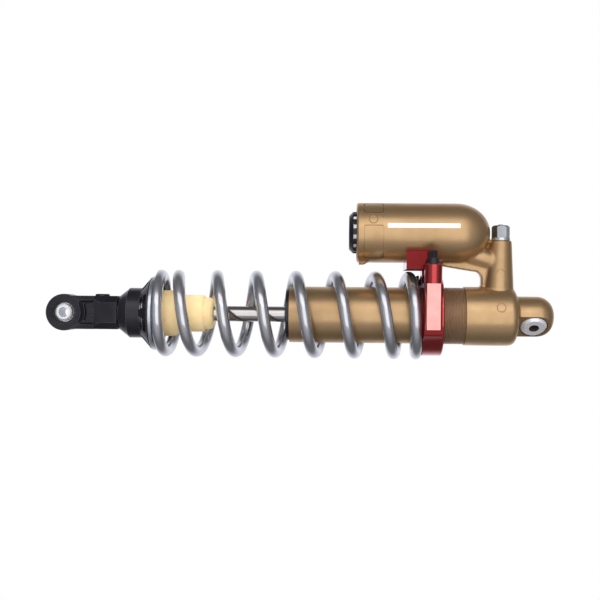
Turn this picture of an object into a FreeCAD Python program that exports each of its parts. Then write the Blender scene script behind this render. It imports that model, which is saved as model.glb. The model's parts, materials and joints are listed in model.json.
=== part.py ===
import FreeCAD, Part
import math
import os
import re
import Sketcher

# A motorcycle rear shock absorber with a piggyback reservoir. X runs along the shock towards
# the upper eye, Z towards the reservoir. The origin is the centre of the upper eye's bearing.
# Lengths are in millimetres and angles in degrees. A reach is a distance from the upper eye,
# measured towards the lower eye.

SIZES = [
    # The whole shock
    ("eye_to_eye", 480.0),
    ("running_gap", 0.05),
    ("working_gap", 0.3),
    ("bolt_hole", 5.0),
    # Damper tube
    ("tube_radius", 28.7),
    ("tube_bore", 25.0),
    ("tube_reach", 247.4),
    ("thread_radius", 29.0),
    ("thread_band", 49.4),
    ("spigot_radius", 27.0),
    ("spigot_depth", 14.0),
    # Head casting
    ("joint_reach", 69.6),
    ("head_radius", 30.0),
    ("head_reach", 17.0),
    ("head_round", 8.0),
    ("chamber_reach", 34.0),
    ("lug_radius", 20.6),
    ("lug_tip", 21.2),
    ("lug_round", 17.0),
    ("lug_thickness", 27.8),
    ("lug_recess_radius", 14.2),
    ("lug_recess_seat", 9.0),
    ("bolt_tilt", 47.5),
    ("column_reach", 35.5),
    ("column_foot_radius", 17.0),
    ("column_foot_height", 16.0),
    ("column_top_radius", 11.2),
    ("column_drop", 7.0),
    ("valve_reach", 32.5),
    ("valve_bore", 8.5),
    ("valve_depth", 30.0),
    ("port_radius", 3.5),
    ("port_rise", 10.5),
    ("elbow_radius", 13.0),
    ("elbow_drop", 15.0),
    ("keel_reach", 96.0),
    ("keel_thickness", 14.0),
    ("keel_drop", 6.5),
    # Reservoir
    ("reservoir_radius", 30.5),
    ("reservoir_wall", 3.5),
    ("reservoir_reach", 179.5),
    ("dome_reach", 72.3),
    ("cap_radius", 21.3),
    ("cap_proud", 7.8),
    ("cap_chamfer", 4.0),
    ("cap_recess", 5.0),
    ("cap_thickness", 11.0),
    ("gas_valve_radius", 3.5),
    ("floating_reach", 118.0),
    ("floating_length", 20.0),
    # Rings and seals
    ("wire_ring", 0.9),
    ("cord_ring", 1.2),
    # Rod, its seals and the piston
    ("rod_radius", 8.0),
    ("rod_bore", 2.6),
    ("rod_thread", 7.0),
    ("rod_tail", 6.0),
    ("dust_cap_radius", 26.6),
    ("dust_cap_lip", 3.6),
    ("wiper_radius", 12.0),
    ("seal_head_depth", 4.4),
    ("seal_head_length", 17.0),
    ("seal_radius", 13.0),
    ("seal_height", 6.0),
    ("bush_radius", 9.6),
    ("bumper_length", 8.0),
    ("bumper_radius", 14.0),
    ("shim_stack", 1.2),
    ("piston_length", 16.0),
    ("piston_port", 2.4),
    ("nut_height", 8.0),
    ("nut_flat", 9.0),
    # Lower clevis
    ("clevis_reach", 57.4),
    ("eye_radius", 18.9),
    ("eye_thickness", 22.0),
    ("neck_half_height", 17.2),
    ("block_length", 26.5),
    ("block_half_depth", 14.5),
    ("block_flat", 10.2),
    ("block_slope", 7.0),
    ("pocket_half_height", 12.9),
    ("pocket_depth", 3.4),
    ("pocket_lean", 0.8),
    ("pocket_corner", 3.2),
    ("eye_ring", 18.0),
    ("clevis_spigot_radius", 15.0),
    ("clevis_spigot_length", 23.6),
    # Rebound adjuster
    ("adjuster_offset", 19.8),
    ("adjuster_head", 7.4),
    ("adjuster_stem", 5.0),
    ("adjuster_proud", 2.0),
    ("adjuster_depth", 14.0),
    # Spring seat at the lower end
    ("hub_radius", 25.8),
    ("hub_cone", 9.0),
    ("hub_length", 22.7),
    ("retainer_height", 34.2),
    ("retainer_flange", 5.2),
    ("retainer_wall", 3.2),
    ("pilot_clearance", 1.0),
    ("seat_pilot_length", 9.0),
    ("window_width", 13.5),
    ("seat_ring_width", 6.3),
    ("seat_ring_thickness", 3.9),
    ("slip_washer_width", 5.4),
    ("slip_washer_thickness", 1.6),
    ("bump_washer_radius", 20.0),
    ("bump_washer_thickness", 1.6),
    # Bump stop
    ("bump_length", 71.4),
    ("bump_radius", 23.4),
    ("bump_waist", 18.8),
    ("bump_tip", 16.3),
    # Spring
    ("wire_radius", 6.0),
    ("coil_radius", 39.0),
    ("end_pitch", 8.6),
    # Preload adjuster
    ("preload_reach", 113.8),
    ("ring_radius", 41.0),
    ("ring_body", 18.2),
    ("ring_floor", 2.8),
    ("cover_thickness", 3.0),
    ("thrust_thickness", 0.8),
    ("gear_face", 11.6),
    ("gear_module", 1.5),
    ("worm_pitch_radius", 5.0),
    ("worm_length", 23.0),
    ("worm_shaft", 5.0),
    ("worm_tail", 2.6),
    ("worm_hex", 4.0),
    ("worm_hex_height", 7.6),
    ("worm_tail_length", 6.0),
    ("worm_tail_room", 5.6),
    ("worm_flange", 6.7),
    ("worm_flange_height", 5.4),
    ("boss_radius", 8.9),
    ("boss_height", 51.7),
    ("pad_top", 32.2),
    ("pad_foot", 13.4),
    ("pad_half_width", 6.7),
    ("pad_wall", 2.8),
    ("tower_half_width", 11.0),
    ("tower_length", 12.0),
    ("saddle_overhang", 16.2),
    ("saddle_bridge", 6.9),
    ("saddle_drop", 19.5),
    ("saddle_clearance", 0.5),
    ("cover_screw_radius", 1.25),
    ("cover_screw_head", 2.2),
    ("cover_screw_head_height", 1.6),
    ("cover_screw_bite", 6.0),
    ("block_screw_radius", 1.6),
    ("block_screw_head", 3.0),
    ("block_screw_head_height", 2.2),
    ("block_screw_grip", 2.4),
    ("block_screw_bite", 4.0),
    # Spherical bearings
    ("upper_race_radius", 13.5),
    ("upper_ball_radius", 11.0),
    ("upper_sleeve_flange", 13.1),
    ("upper_sleeve_reach", 16.0),
    ("upper_sleeve_chamfer", 2.4),
    ("lower_race_radius", 12.2),
    ("lower_ball_radius", 10.3),
    ("lower_sleeve_flange", 8.6),
    ("lower_sleeve_reach", 12.5),
    ("lower_sleeve_chamfer", 1.6),
    ("race_half_width", 6.0),
    ("ball_half_width", 7.5),
    # Compression adjusters
    ("valve_flange", 9.6),
    ("valve_flange_height", 2.6),
    ("high_speed_flat", 8.0),
    ("high_speed_height", 12.4),
    ("low_speed_radius", 2.6),
    ("low_speed_proud", 1.2),
]

COUNTS = {
    "gear_teeth": 44,
    "worm_starts": 2,
    "retainer_windows": 8,
    "piston_ports": 6,
    "cover_screws": 4,
    "cap_notches": 12,
}

STATIONS = [
    ("lower_eye", "-eye_to_eye"),
    ("tube_end", "-tube_reach"),
    ("head_joint", "-joint_reach"),
    ("head_end", "-head_reach"),
    ("socket_end", "head_joint + spigot_depth"),
    # Rod end of the tube, from outside to inside
    ("seal_head_left", "tube_end + seal_head_depth"),
    ("seal_head_right", "seal_head_left + seal_head_length"),
    ("bumper_left", "seal_head_right + working_gap"),
    ("piston_left", "bumper_left + bumper_length + shim_stack"),
    ("piston_right", "piston_left + piston_length"),
    ("nut_left", "piston_right + shim_stack"),
    ("rod_tip", "nut_left + nut_height + 1.5"),
    # Lower clevis and the spring seat on it
    ("shoulder", "lower_eye + clevis_reach"),
    ("clevis_tip", "shoulder + clevis_spigot_length"),
    ("rod_root", "shoulder + 3"),
    ("adjuster_place", "shoulder - adjuster_offset"),
    ("retainer_face", "shoulder + retainer_height"),
    ("seat_ring_face", "retainer_face + seat_ring_thickness"),
    ("seat_pilot_radius", "coil_radius - wire_radius - pilot_clearance"),
    ("retainer_radius", "seat_pilot_radius + retainer_flange"),
    ("seat_ring_radius", "seat_pilot_radius + seat_ring_width"),
    ("slip_washer_radius", "seat_pilot_radius + slip_washer_width"),
    ("spring_low", "seat_ring_face + slip_washer_thickness"),
    ("bump_low", "clevis_tip + bump_washer_thickness"),
    ("bump_high", "bump_low + bump_length"),
    # Preload adjuster
    ("spring_high", "-preload_reach"),
    ("ring_right", "spring_high + ring_body"),
    ("cover_right", "ring_right + cover_thickness"),
    ("ring_cavity_left", "spring_high + ring_floor"),
    ("gear_left", "ring_cavity_left + thrust_thickness + 0.2"),
    ("gear_right", "gear_left + gear_face"),
    ("worm_place", "(gear_left + gear_right) / 2"),
    ("gear_pitch_radius", "gear_module * gear_teeth / 2"),
    ("gear_tip", "gear_pitch_radius + gear_module * 0.93"),
    ("gear_root", "gear_pitch_radius - gear_module * 1.25"),
    ("worm_tip", "worm_pitch_radius + gear_module * 0.93"),
    ("worm_root", "worm_pitch_radius - gear_module * 1.25"),
    ("worm_out", "gear_pitch_radius + worm_pitch_radius"),
    ("ring_cavity", "gear_tip + 0.8"),
    ("ring_hole", "thread_radius + 0.6"),
    ("worm_cavity", "worm_tip + 0.6"),
    ("saddle_foot", "coil_radius + wire_radius + 1.6"),
    ("tower_left", "spring_high + 0.6"),
    ("tower_right", "tower_left + tower_length"),
    ("block_screw_along", "(tower_left + tower_right) / 2"),
    ("block_screw_across", "tower_half_width * 0.6"),
    # Reservoir
    ("reservoir_height", "saddle_foot + saddle_bridge + saddle_clearance + reservoir_radius"),
    ("saddle_top", "reservoir_height - saddle_drop"),
    ("reservoir_end", "-reservoir_reach"),
    ("dome_centre", "-dome_reach"),
    ("reservoir_bore", "reservoir_radius - reservoir_wall"),
    ("cap_left", "reservoir_end + cap_recess"),
    ("cap_right", "cap_left + cap_thickness"),
    ("floating_left", "-floating_reach - floating_length / 2"),
    ("floating_right", "-floating_reach + floating_length / 2"),
    # Compression valve, along Z
    ("column_height", "reservoir_height - column_drop"),
    ("valve_foot", "column_height - valve_depth"),
    ("port_height", "valve_foot + port_rise"),
    ("hex_foot", "column_height + valve_flange_height + 0.2"),
    ("hex_top", "hex_foot + high_speed_height"),
    ("valve_place", "-valve_reach"),
]

FINGER = 1e-6

doc = FreeCAD.newDocument("shock_absorber")
sheet = doc.addObject("Spreadsheet::Sheet", "Sizes")
layout = doc.addObject("App::VarSet", "Layout")
nodes = []


def bound(text):
    """The document's own expression for a line of named sizes, stations and counts."""
    names = {name: f"Sizes.{name}" for name, _ in SIZES}
    names.update({name: f"Sizes.{name}" for name in COUNTS})
    names.update({name: f"Layout.{name}" for name, _ in STATIONS})
    return re.sub(r"[a-z_]+", lambda word: names.get(word.group(), word.group()), str(text))


def value(text):
    """The number that such a line comes to."""
    return float(sheet.evalExpression(bound(text)))


def fill_sheet():
    rows = list(SIZES) + list(COUNTS.items())
    for row, (name, number) in enumerate(rows, 1):
        sheet.set(f"A{row}", name)
        sheet.set(f"B{row}", str(number))
        sheet.setAlias(f"B{row}", name)
    doc.recompute()
    for name, text in STATIONS:
        layout.addProperty("App::PropertyFloat", name, "Stations")
        layout.setExpression(name, bound(text))
        doc.recompute()


def finish(piece, label):
    piece.Label = label
    nodes.append(piece)
    return piece


def new_body(label, along="0", across="0", up="0"):
    body = doc.addObject("PartDesign::Body", label)
    body.AllowCompound = True
    body.setExpression("Placement.Base.x", bound(along))
    body.setExpression("Placement.Base.y", bound(across))
    body.setExpression("Placement.Base.z", bound(up))
    return body


def origin_feature(body, role):
    return next(item for item in body.Origin.OriginFeatures if item.Role == role)


def new_sketch(body, plane="XZ_Plane", shift=("0", "0", "0"), turn=None):
    """A sketch on one of the body's own planes, moved by shift in the plane's own axes and
    turned about the body's X axis where turn is given."""
    sketch = body.newObject("Sketcher::SketchObject", "outline")
    sketch.AttachmentSupport = [(origin_feature(body, plane), "")]
    sketch.MapMode = "FlatFace"
    if turn:
        sketch.AttachmentOffset = FreeCAD.Placement(
            FreeCAD.Vector(), FreeCAD.Rotation(FreeCAD.Vector(1, 0, 0), 1)
        )
        sketch.setExpression("AttachmentOffset.Rotation.Angle", bound(turn))
    for axis, text in zip("xyz", shift):
        sketch.setExpression(f"AttachmentOffset.Base.{axis}", bound(text))
    return sketch


def hold(sketch, kind, place, text):
    """A dimension on the sketch, tied to the sizes."""
    index = sketch.addConstraint(Sketcher.Constraint(kind, *place, value(text)))
    sketch.setExpression(f"Constraints[{index}]", bound(text))


def arc_between(start, end, radius):
    """The short arc from start to end: a positive radius turns left, a negative one right."""
    if radius < 0:
        return arc_between(end, start, -radius)
    chord = end - start
    left = FreeCAD.Vector(-chord.y, chord.x, 0).normalize()
    height = math.sqrt(max(radius**2 - chord.Length**2 / 4, 0))
    centre = (start + end) / 2 + left * height
    begin = math.atan2(start.y - centre.y, start.x - centre.x)
    finish_angle = math.atan2(end.y - centre.y, end.x - centre.x)
    circle = Part.Circle(centre, FreeCAD.Vector(0, 0, 1), radius)
    return Part.ArcOfCircle(circle, begin, finish_angle)


def draw(sketch, corners):
    """A closed outline. A corner is (x, y), or (x, y, radius) where an arc leads on from it."""
    spots = [FreeCAD.Vector(value(corner[0]), value(corner[1]), 0) for corner in corners]
    ends = []
    for index, corner in enumerate(corners):
        start = spots[index]
        end = spots[(index + 1) % len(spots)]
        if len(corner) == 2:
            line = sketch.addGeometry(Part.LineSegment(start, end), False)
            ends.append((line, 1, 2))
            continue
        radius = value(corner[2])
        arc = sketch.addGeometry(arc_between(start, end, radius), False)
        ends.append((arc, 1, 2) if radius > 0 else (arc, 2, 1))
    for index, (line, _, last) in enumerate(ends):
        following, first, _ = ends[(index + 1) % len(ends)]
        sketch.addConstraint(Sketcher.Constraint("Coincident", line, last, following, first))
    for (line, first, _), corner in zip(ends, corners):
        hold(sketch, "DistanceX", (line, first), corner[0])
        hold(sketch, "DistanceY", (line, first), corner[1])
        if len(corner) == 3:
            hold(sketch, "Radius", (line,), f"abs({corner[2]})")
    return sketch


def draw_circle(sketch, x, y, radius):
    centre = FreeCAD.Vector(value(x), value(y), 0)
    circle = Part.Circle(centre, FreeCAD.Vector(0, 0, 1), value(radius))
    index = sketch.addGeometry(circle, False)
    hold(sketch, "DistanceX", (index, 3), x)
    hold(sketch, "DistanceY", (index, 3), y)
    hold(sketch, "Radius", (index,), radius)
    return sketch


def draw_hexagon(sketch, x, y, flat):
    """A hexagon with two of its flats square to the sketch's x axis."""
    half = f"({flat}) / sqrt(3)"
    steps = [(1, 1), (0, 2), (-1, 1), (-1, -1), (0, -2), (1, -1)]
    corners = [(f"{x} + {a} * ({flat})", f"{y} + {b} * {half}") for a, b in steps]
    return draw(sketch, corners)


def pad(body, sketch, length, both=False, back=False):
    feature = body.newObject("PartDesign::Pad", "pad")
    feature.Profile = sketch
    feature.SideType = "Symmetric" if both else "One side"
    feature.Reversed = back
    feature.setExpression("Length", bound(length))
    doc.recompute()
    return feature


def cut(body, sketch, depth=None, both=False, back=False):
    """A pocket of the given depth, or right through, which has to take material away."""
    before = body.Shape.Volume
    feature = body.newObject("PartDesign::Pocket", "pocket")
    feature.Profile = sketch
    feature.SideType = "Symmetric" if both else "One side"
    feature.Reversed = back
    if depth is None:
        feature.Type = "ThroughAll"
    else:
        feature.setExpression("Length", bound(depth))
    doc.recompute()
    if body.Shape.Volume > before - FINGER:
        raise RuntimeError(f"a pocket in {body.Name} takes nothing away")
    return feature


def turn_about(body, sketch, axis="H_Axis", away=False):
    """A full revolution that adds the sketch's outline, or takes it away."""
    before = body.Shape.Volume if away else 0
    kind = "PartDesign::Groove" if away else "PartDesign::Revolution"
    feature = body.newObject(kind, "turning")
    feature.Profile = sketch
    feature.ReferenceAxis = (sketch, [axis])
    feature.Angle = 360
    doc.recompute()
    if away and body.Shape.Volume > before - FINGER:
        raise RuntimeError(f"a groove in {body.Name} takes nothing away")
    return feature


def around(body, feature, count, role="X_Axis"):
    """Copies of a feature spread evenly round one of the body's axes."""
    pattern = body.newObject("PartDesign::PolarPattern", "pattern")
    pattern.Originals = [feature]
    pattern.Axis = (origin_feature(body, role), [""])
    pattern.Angle = 360
    pattern.setExpression("Occurrences", bound(count))
    body.Tip = pattern
    doc.recompute()
    return pattern


def dress(body, kind, size, test):
    """A fillet or chamfer on each edge of the body that test picks."""
    base = body.Tip
    names = [f"Edge{n}" for n, edge in enumerate(base.Shape.Edges, 1) if test(edge)]
    if not names:
        raise RuntimeError(f"no edge of {body.Name} is picked for its {kind}")
    feature = body.newObject(f"PartDesign::{kind}", kind.lower())
    feature.Base = (base, names)
    feature.setExpression("Radius" if kind == "Fillet" else "Size", bound(size))
    doc.recompute()
    return feature


def swapped(corners):
    """The same outline with its two directions exchanged, and its arcs turned the other way."""
    plain = [(corner[1], corner[0], *corner[2:]) for corner in corners]
    return [(x, y, f"-({more[0]})") if more else (x, y) for x, y, *more in plain]


def turned(label, corners, axis="x", along="0", across="0", up="0", tilt="0"):
    """A piece made on a lathe: corners are (distance along its axis, radius)."""
    body = new_body(label, along, across, up)
    if axis == "x":
        turn_about(body, draw(new_sketch(body), corners))
    elif axis == "z":
        turn_about(body, draw(new_sketch(body), swapped(corners)), "V_Axis")
    else:
        plane = new_sketch(body, "XY_Plane")
        turn_about(body, draw(plane, swapped(corners)), "V_Axis")
    if tilt != "0":
        body.Placement.Rotation = FreeCAD.Rotation(FreeCAD.Vector(1, 0, 0), 1)
        body.setExpression("Placement.Rotation.Angle", bound(tilt))
    return body


def tube_of(left, right, inner, outer):
    """The half section of a plain ring."""
    return [(left, inner), (right, inner), (right, outer), (left, outer)]


def o_ring(centre, inner, outer):
    """The half section of a rubber ring, slightly flattened between groove and bore."""
    half = f"(({outer}) - ({inner})) / 2"
    return [
        (f"{centre} - {half}", f"{inner} + {half} * 0.5"),
        (f"{centre} - {half} * 0.5", inner),
        (f"{centre} + {half} * 0.5", inner),
        (f"{centre} + {half}", f"{inner} + {half} * 0.5"),
        (f"{centre} + {half}", f"{outer} - {half} * 0.5"),
        (f"{centre} + {half} * 0.5", outer),
        (f"{centre} - {half} * 0.5", outer),
        (f"{centre} - {half}", f"{outer} - {half} * 0.5"),
    ]


def pair(label, first, tilt):
    """The piece and its mirror image at the other side of the eye."""
    mirror = doc.addObject("Part::Mirroring", f"{label}_mirror")
    mirror.Source = first
    mirror.Normal = FreeCAD.Vector(0, 1, 0)
    mirror.setExpression("Normal.y", bound(f"cos({tilt})"))
    mirror.setExpression("Normal.z", bound(f"sin({tilt})"))
    both = doc.addObject("Part::Compound", label)
    both.Links = [first, mirror]
    doc.recompute()
    return finish(both, label)


def set_of(label, piece, places):
    """Copies of one small piece at the given places, kept as separate solids."""
    group = doc.addObject("Part::Feature", label)
    shapes = []
    for place in places:
        copy = piece.copy()
        copy.Placement = place.multiply(copy.Placement)
        shapes.append(copy)
    group.Shape = Part.makeCompound(shapes)
    return finish(group, label)


def build_tube():
    groove = "tube_bore + wire_ring"
    body = turned("damper_tube", [
        ("tube_end", "tube_bore"),
        ("seal_head_left - 2 * wire_ring", "tube_bore"),
        ("seal_head_left - 2 * wire_ring", groove),
        ("seal_head_left", groove),
        ("seal_head_left", "tube_bore"),
        ("socket_end", "tube_bore"),
        ("socket_end", "spigot_radius"),
        ("head_joint + spigot_depth / 2 + cord_ring", "spigot_radius"),
        ("head_joint + spigot_depth / 2 + cord_ring", "spigot_radius - cord_ring"),
        ("head_joint + spigot_depth / 2 - cord_ring", "spigot_radius - cord_ring"),
        ("head_joint + spigot_depth / 2 - cord_ring", "spigot_radius"),
        ("head_joint", "spigot_radius"),
        ("head_joint", "thread_radius - 0.4"),
        ("head_joint - 0.8", "thread_radius"),
        ("head_joint - thread_band", "thread_radius"),
        ("head_joint - thread_band - 0.3", "tube_radius"),
        ("tube_end + 1", "tube_radius"),
        ("tube_end", "tube_radius - 1"),
    ])
    finish(body, "damper_tube")
    seal = o_ring("head_joint + spigot_depth / 2", "spigot_radius - cord_ring", "spigot_radius")
    finish(turned("tube_seal", seal), "tube_seal")


def build_casting():
    """The head, upper lug, bridge column, keel and reservoir shell, which are one casting."""
    body = new_body("head_casting")
    turn_about(body, draw(new_sketch(body), [
        ("head_joint", "0"),
        ("head_end", "0"),
        ("head_end", "head_radius - head_round", "head_round"),
        ("head_end - head_round", "head_radius"),
        ("head_joint + 0.6", "head_radius"),
        ("head_joint", "head_radius - 0.6"),
    ]))
    build_keel(body)
    turn_about(body, draw(new_sketch(body), [
        ("head_end - head_round", "0"),
        ("lug_tip", "0"),
        ("lug_tip", "lug_radius - lug_round", "lug_round"),
        ("lug_tip - lug_round", "lug_radius"),
        ("head_end - head_round", "lug_radius"),
    ]))
    # The lug's two flats are square to the bolt, which lies at an angle to the lower one
    for side in ("", "-"):
        beyond = f"({side}(lug_thickness / 2 + lug_radius / 2))"
        flat = new_sketch(body, turn="bolt_tilt", shift=(
            "0", f"-{beyond} * sin(bolt_tilt)", f"{beyond} * cos(bolt_tilt)"
        ))
        draw(flat, [
            ("head_end + 0.4", "-lug_radius - 2"),
            ("lug_tip + 2", "-lug_radius - 2"),
            ("lug_tip + 2", "lug_radius + 2"),
            ("head_end + 0.4", "lug_radius + 2"),
        ])
        cut(body, flat, "lug_radius", both=True)
    # The column leans and tapers from the head up to the compression valve
    foot = new_sketch(body, "XY_Plane", ("0", "0", "column_foot_height"))
    draw_circle(foot, "-column_reach", "0", "column_foot_radius")
    top = new_sketch(body, "XY_Plane", ("0", "0", "column_height"))
    draw_circle(top, "-valve_reach", "0", "column_top_radius")
    column = body.newObject("PartDesign::AdditiveLoft", "column")
    column.Profile = foot
    column.Sections = [top]
    doc.recompute()
    # The elbow carries oil from the column into the reservoir's dome
    dome_side = new_sketch(body, "YZ_Plane", ("0", "0", "dome_centre + 5"))
    draw_circle(dome_side, "0", "reservoir_height - elbow_drop", "elbow_radius")
    column_side = new_sketch(body, "YZ_Plane", ("0", "0", "-column_reach"))
    draw_circle(column_side, "0", "port_height", "column_top_radius + 1")
    elbow = body.newObject("PartDesign::AdditiveLoft", "elbow")
    elbow.Profile = dome_side
    elbow.Sections = [column_side]
    doc.recompute()
    shell = new_sketch(body, shift=("0", "reservoir_height", "0"))
    draw(shell, [
        ("reservoir_end", "0"),
        ("dome_centre + reservoir_radius", "0", "reservoir_radius"),
        ("dome_centre", "reservoir_radius"),
        ("reservoir_end + 0.8", "reservoir_radius"),
        ("reservoir_end", "reservoir_radius - 0.8"),
    ])
    turn_about(body, shell)
    bore_casting(body)
    finish(body, "head_casting")


def build_keel(body):
    """The keel runs along under the reservoir and fades out towards its open end."""
    keel = new_sketch(body)
    root = "reservoir_height - reservoir_radius"
    draw(keel, [
        ("-keel_reach", f"{root} + 1.5"),
        ("-keel_reach + 4", f"{root} - keel_drop * 0.5"),
        ("-column_reach - column_foot_radius - 4", f"{root} - keel_drop * 1.25", "-9"),
        ("-column_reach - column_foot_radius + 3.4", f"{root} - keel_drop * 1.25 - 9"),
        ("-column_reach", f"{root} - keel_drop * 1.25 - 9"),
        ("-column_reach", f"{root} + 1.5"),
    ])
    pad(body, keel, "keel_thickness", both=True)
    side = value("keel_thickness / 2")
    top = value(f"{root} + 1.4")

    def on_keel(edge):
        box = edge.BoundBox
        flat = box.YLength < 0.01 and abs(abs(box.YMin) - side) < 0.01
        return flat and box.ZMin < top and box.ZMax > value("head_radius + 1")

    dress(body, "Fillet", "keel_thickness * 0.2", on_keel)


def bore_casting(body):
    socket = new_sketch(body)
    draw(socket, [
        ("head_joint - 1", "0"),
        ("-chamber_reach", "0"),
        ("-chamber_reach", "tube_bore - 4", "4"),
        ("-chamber_reach - 4", "tube_bore"),
        ("socket_end", "tube_bore"),
        ("socket_end", "spigot_radius"),
        ("head_joint - 1", "spigot_radius"),
    ])
    turn_about(body, socket, away=True)
    bore = new_sketch(body, shift=("0", "reservoir_height", "0"))
    ring_left = "cap_left - 2 * wire_ring"
    draw(bore, [
        ("reservoir_end - 1", "0"),
        ("dome_centre + reservoir_bore", "0", "reservoir_bore"),
        ("dome_centre", "reservoir_bore"),
        ("cap_left", "reservoir_bore"),
        ("cap_left", "reservoir_bore + wire_ring"),
        (ring_left, "reservoir_bore + wire_ring"),
        (ring_left, "reservoir_bore"),
        ("reservoir_end - 1", "reservoir_bore"),
    ])
    turn_about(body, bore, away=True)
    # The valve's bore, with a narrower passage on down into the oil chamber
    passage = new_sketch(body, shift=("valve_place", "0", "0"))
    draw(passage, [
        ("0", "tube_bore - 6"),
        ("port_radius", "tube_bore - 6"),
        ("port_radius", "valve_foot"),
        ("valve_bore", "valve_foot"),
        ("valve_bore", "column_height + 1"),
        ("0", "column_height + 1"),
    ])
    turn_about(body, passage, "V_Axis", away=True)
    port = new_sketch(body, "YZ_Plane", ("0", "0", "valve_place"))
    draw_circle(port, "0", "port_height", "port_radius")
    cut(body, port, "dome_reach - valve_reach - 5", back=False)
    # The eye's bore, with a groove for a ring at each side of the bearing
    eye = new_sketch(body, turn="bolt_tilt")
    draw_circle(eye, "0", "0", "upper_race_radius")
    cut(body, eye, both=True)
    for side in ("", "-"):
        groove = new_sketch(body, turn="bolt_tilt", shift=(
            "0",
            f"-({side}(race_half_width + wire_ring)) * sin(bolt_tilt)",
            f"{side}(race_half_width + wire_ring) * cos(bolt_tilt)",
        ))
        draw_circle(groove, "0", "0", "upper_race_radius + wire_ring")
        cut(body, groove, "2 * wire_ring", both=True)
        middle = f"({side}(lug_recess_seat + lug_radius) / 2)"
        recess = new_sketch(body, turn="bolt_tilt", shift=(
            "0", f"-{middle} * sin(bolt_tilt)", f"{middle} * cos(bolt_tilt)"
        ))
        draw_circle(recess, "0", "0", "lug_recess_radius")
        cut(body, recess, "lug_radius - lug_recess_seat", both=True)


def build_seal_head():
    lip = "tube_end - dust_cap_lip"
    finish(turned("dust_cap", [
        (f"{lip}", "rod_radius + 1.2"),
        (f"{lip} + 1.4", "rod_radius + 1.2"),
        (f"{lip} + 1.4", "wiper_radius"),
        ("tube_end + 1.6", "wiper_radius"),
        ("tube_end + 1.6", "tube_bore - 0.05"),
        ("tube_end", "tube_bore - 0.05"),
        ("tube_end", "dust_cap_radius"),
        (f"{lip} + 1.4", "dust_cap_radius"),
        (f"{lip}", "dust_cap_radius - 1.4"),
    ]), "dust_cap")
    finish(turned("dust_wiper", [
        (f"{lip} + 1.4", "rod_radius + 1.1"),
        (f"{lip} + 0.5", "rod_radius + running_gap"),
        ("tube_end + 1.6", "rod_radius + running_gap"),
        ("tube_end + 1.6", "wiper_radius"),
        (f"{lip} + 1.4", "wiper_radius"),
    ]), "dust_wiper")
    groove_middle = "seal_head_left + seal_head_length * 0.55"
    finish(turned("seal_head", [
        ("seal_head_left", "seal_radius"),
        ("seal_head_left + seal_height", "seal_radius"),
        ("seal_head_left + seal_height", "bush_radius"),
        ("seal_head_right", "bush_radius"),
        ("seal_head_right", "tube_bore - 1.2"),
        ("seal_head_right - 1.2", "tube_bore"),
        (f"{groove_middle} + cord_ring", "tube_bore"),
        (f"{groove_middle} + cord_ring", "tube_bore - 2 * cord_ring"),
        (f"{groove_middle} - cord_ring", "tube_bore - 2 * cord_ring"),
        (f"{groove_middle} - cord_ring", "tube_bore"),
        ("seal_head_left", "tube_bore"),
    ]), "seal_head")
    finish(turned("seal_head_ring", o_ring(
        groove_middle, "tube_bore - 2 * cord_ring", "tube_bore"
    )), "seal_head_ring")
    finish(turned("seal_head_circlip", [
        ("seal_head_left - 2 * wire_ring", "tube_bore - 1.4"),
        ("seal_head_left", "tube_bore - 1.4"),
        ("seal_head_left", "tube_bore + wire_ring"),
        ("seal_head_left - 2 * wire_ring", "tube_bore + wire_ring"),
    ]), "seal_head_circlip")
    finish(turned("rod_seal", [
        ("seal_head_left", "rod_radius + 1.4"),
        ("seal_head_left + 1.4", "rod_radius + running_gap"),
        ("seal_head_left + seal_height", "rod_radius + running_gap"),
        ("seal_head_left + seal_height", "seal_radius"),
        ("seal_head_left", "seal_radius"),
    ]), "rod_seal")
    finish(turned("guide_bush", tube_of(
        "seal_head_left + seal_height", "seal_head_right", "rod_radius + running_gap", "bush_radius"
    )), "guide_bush")


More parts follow.
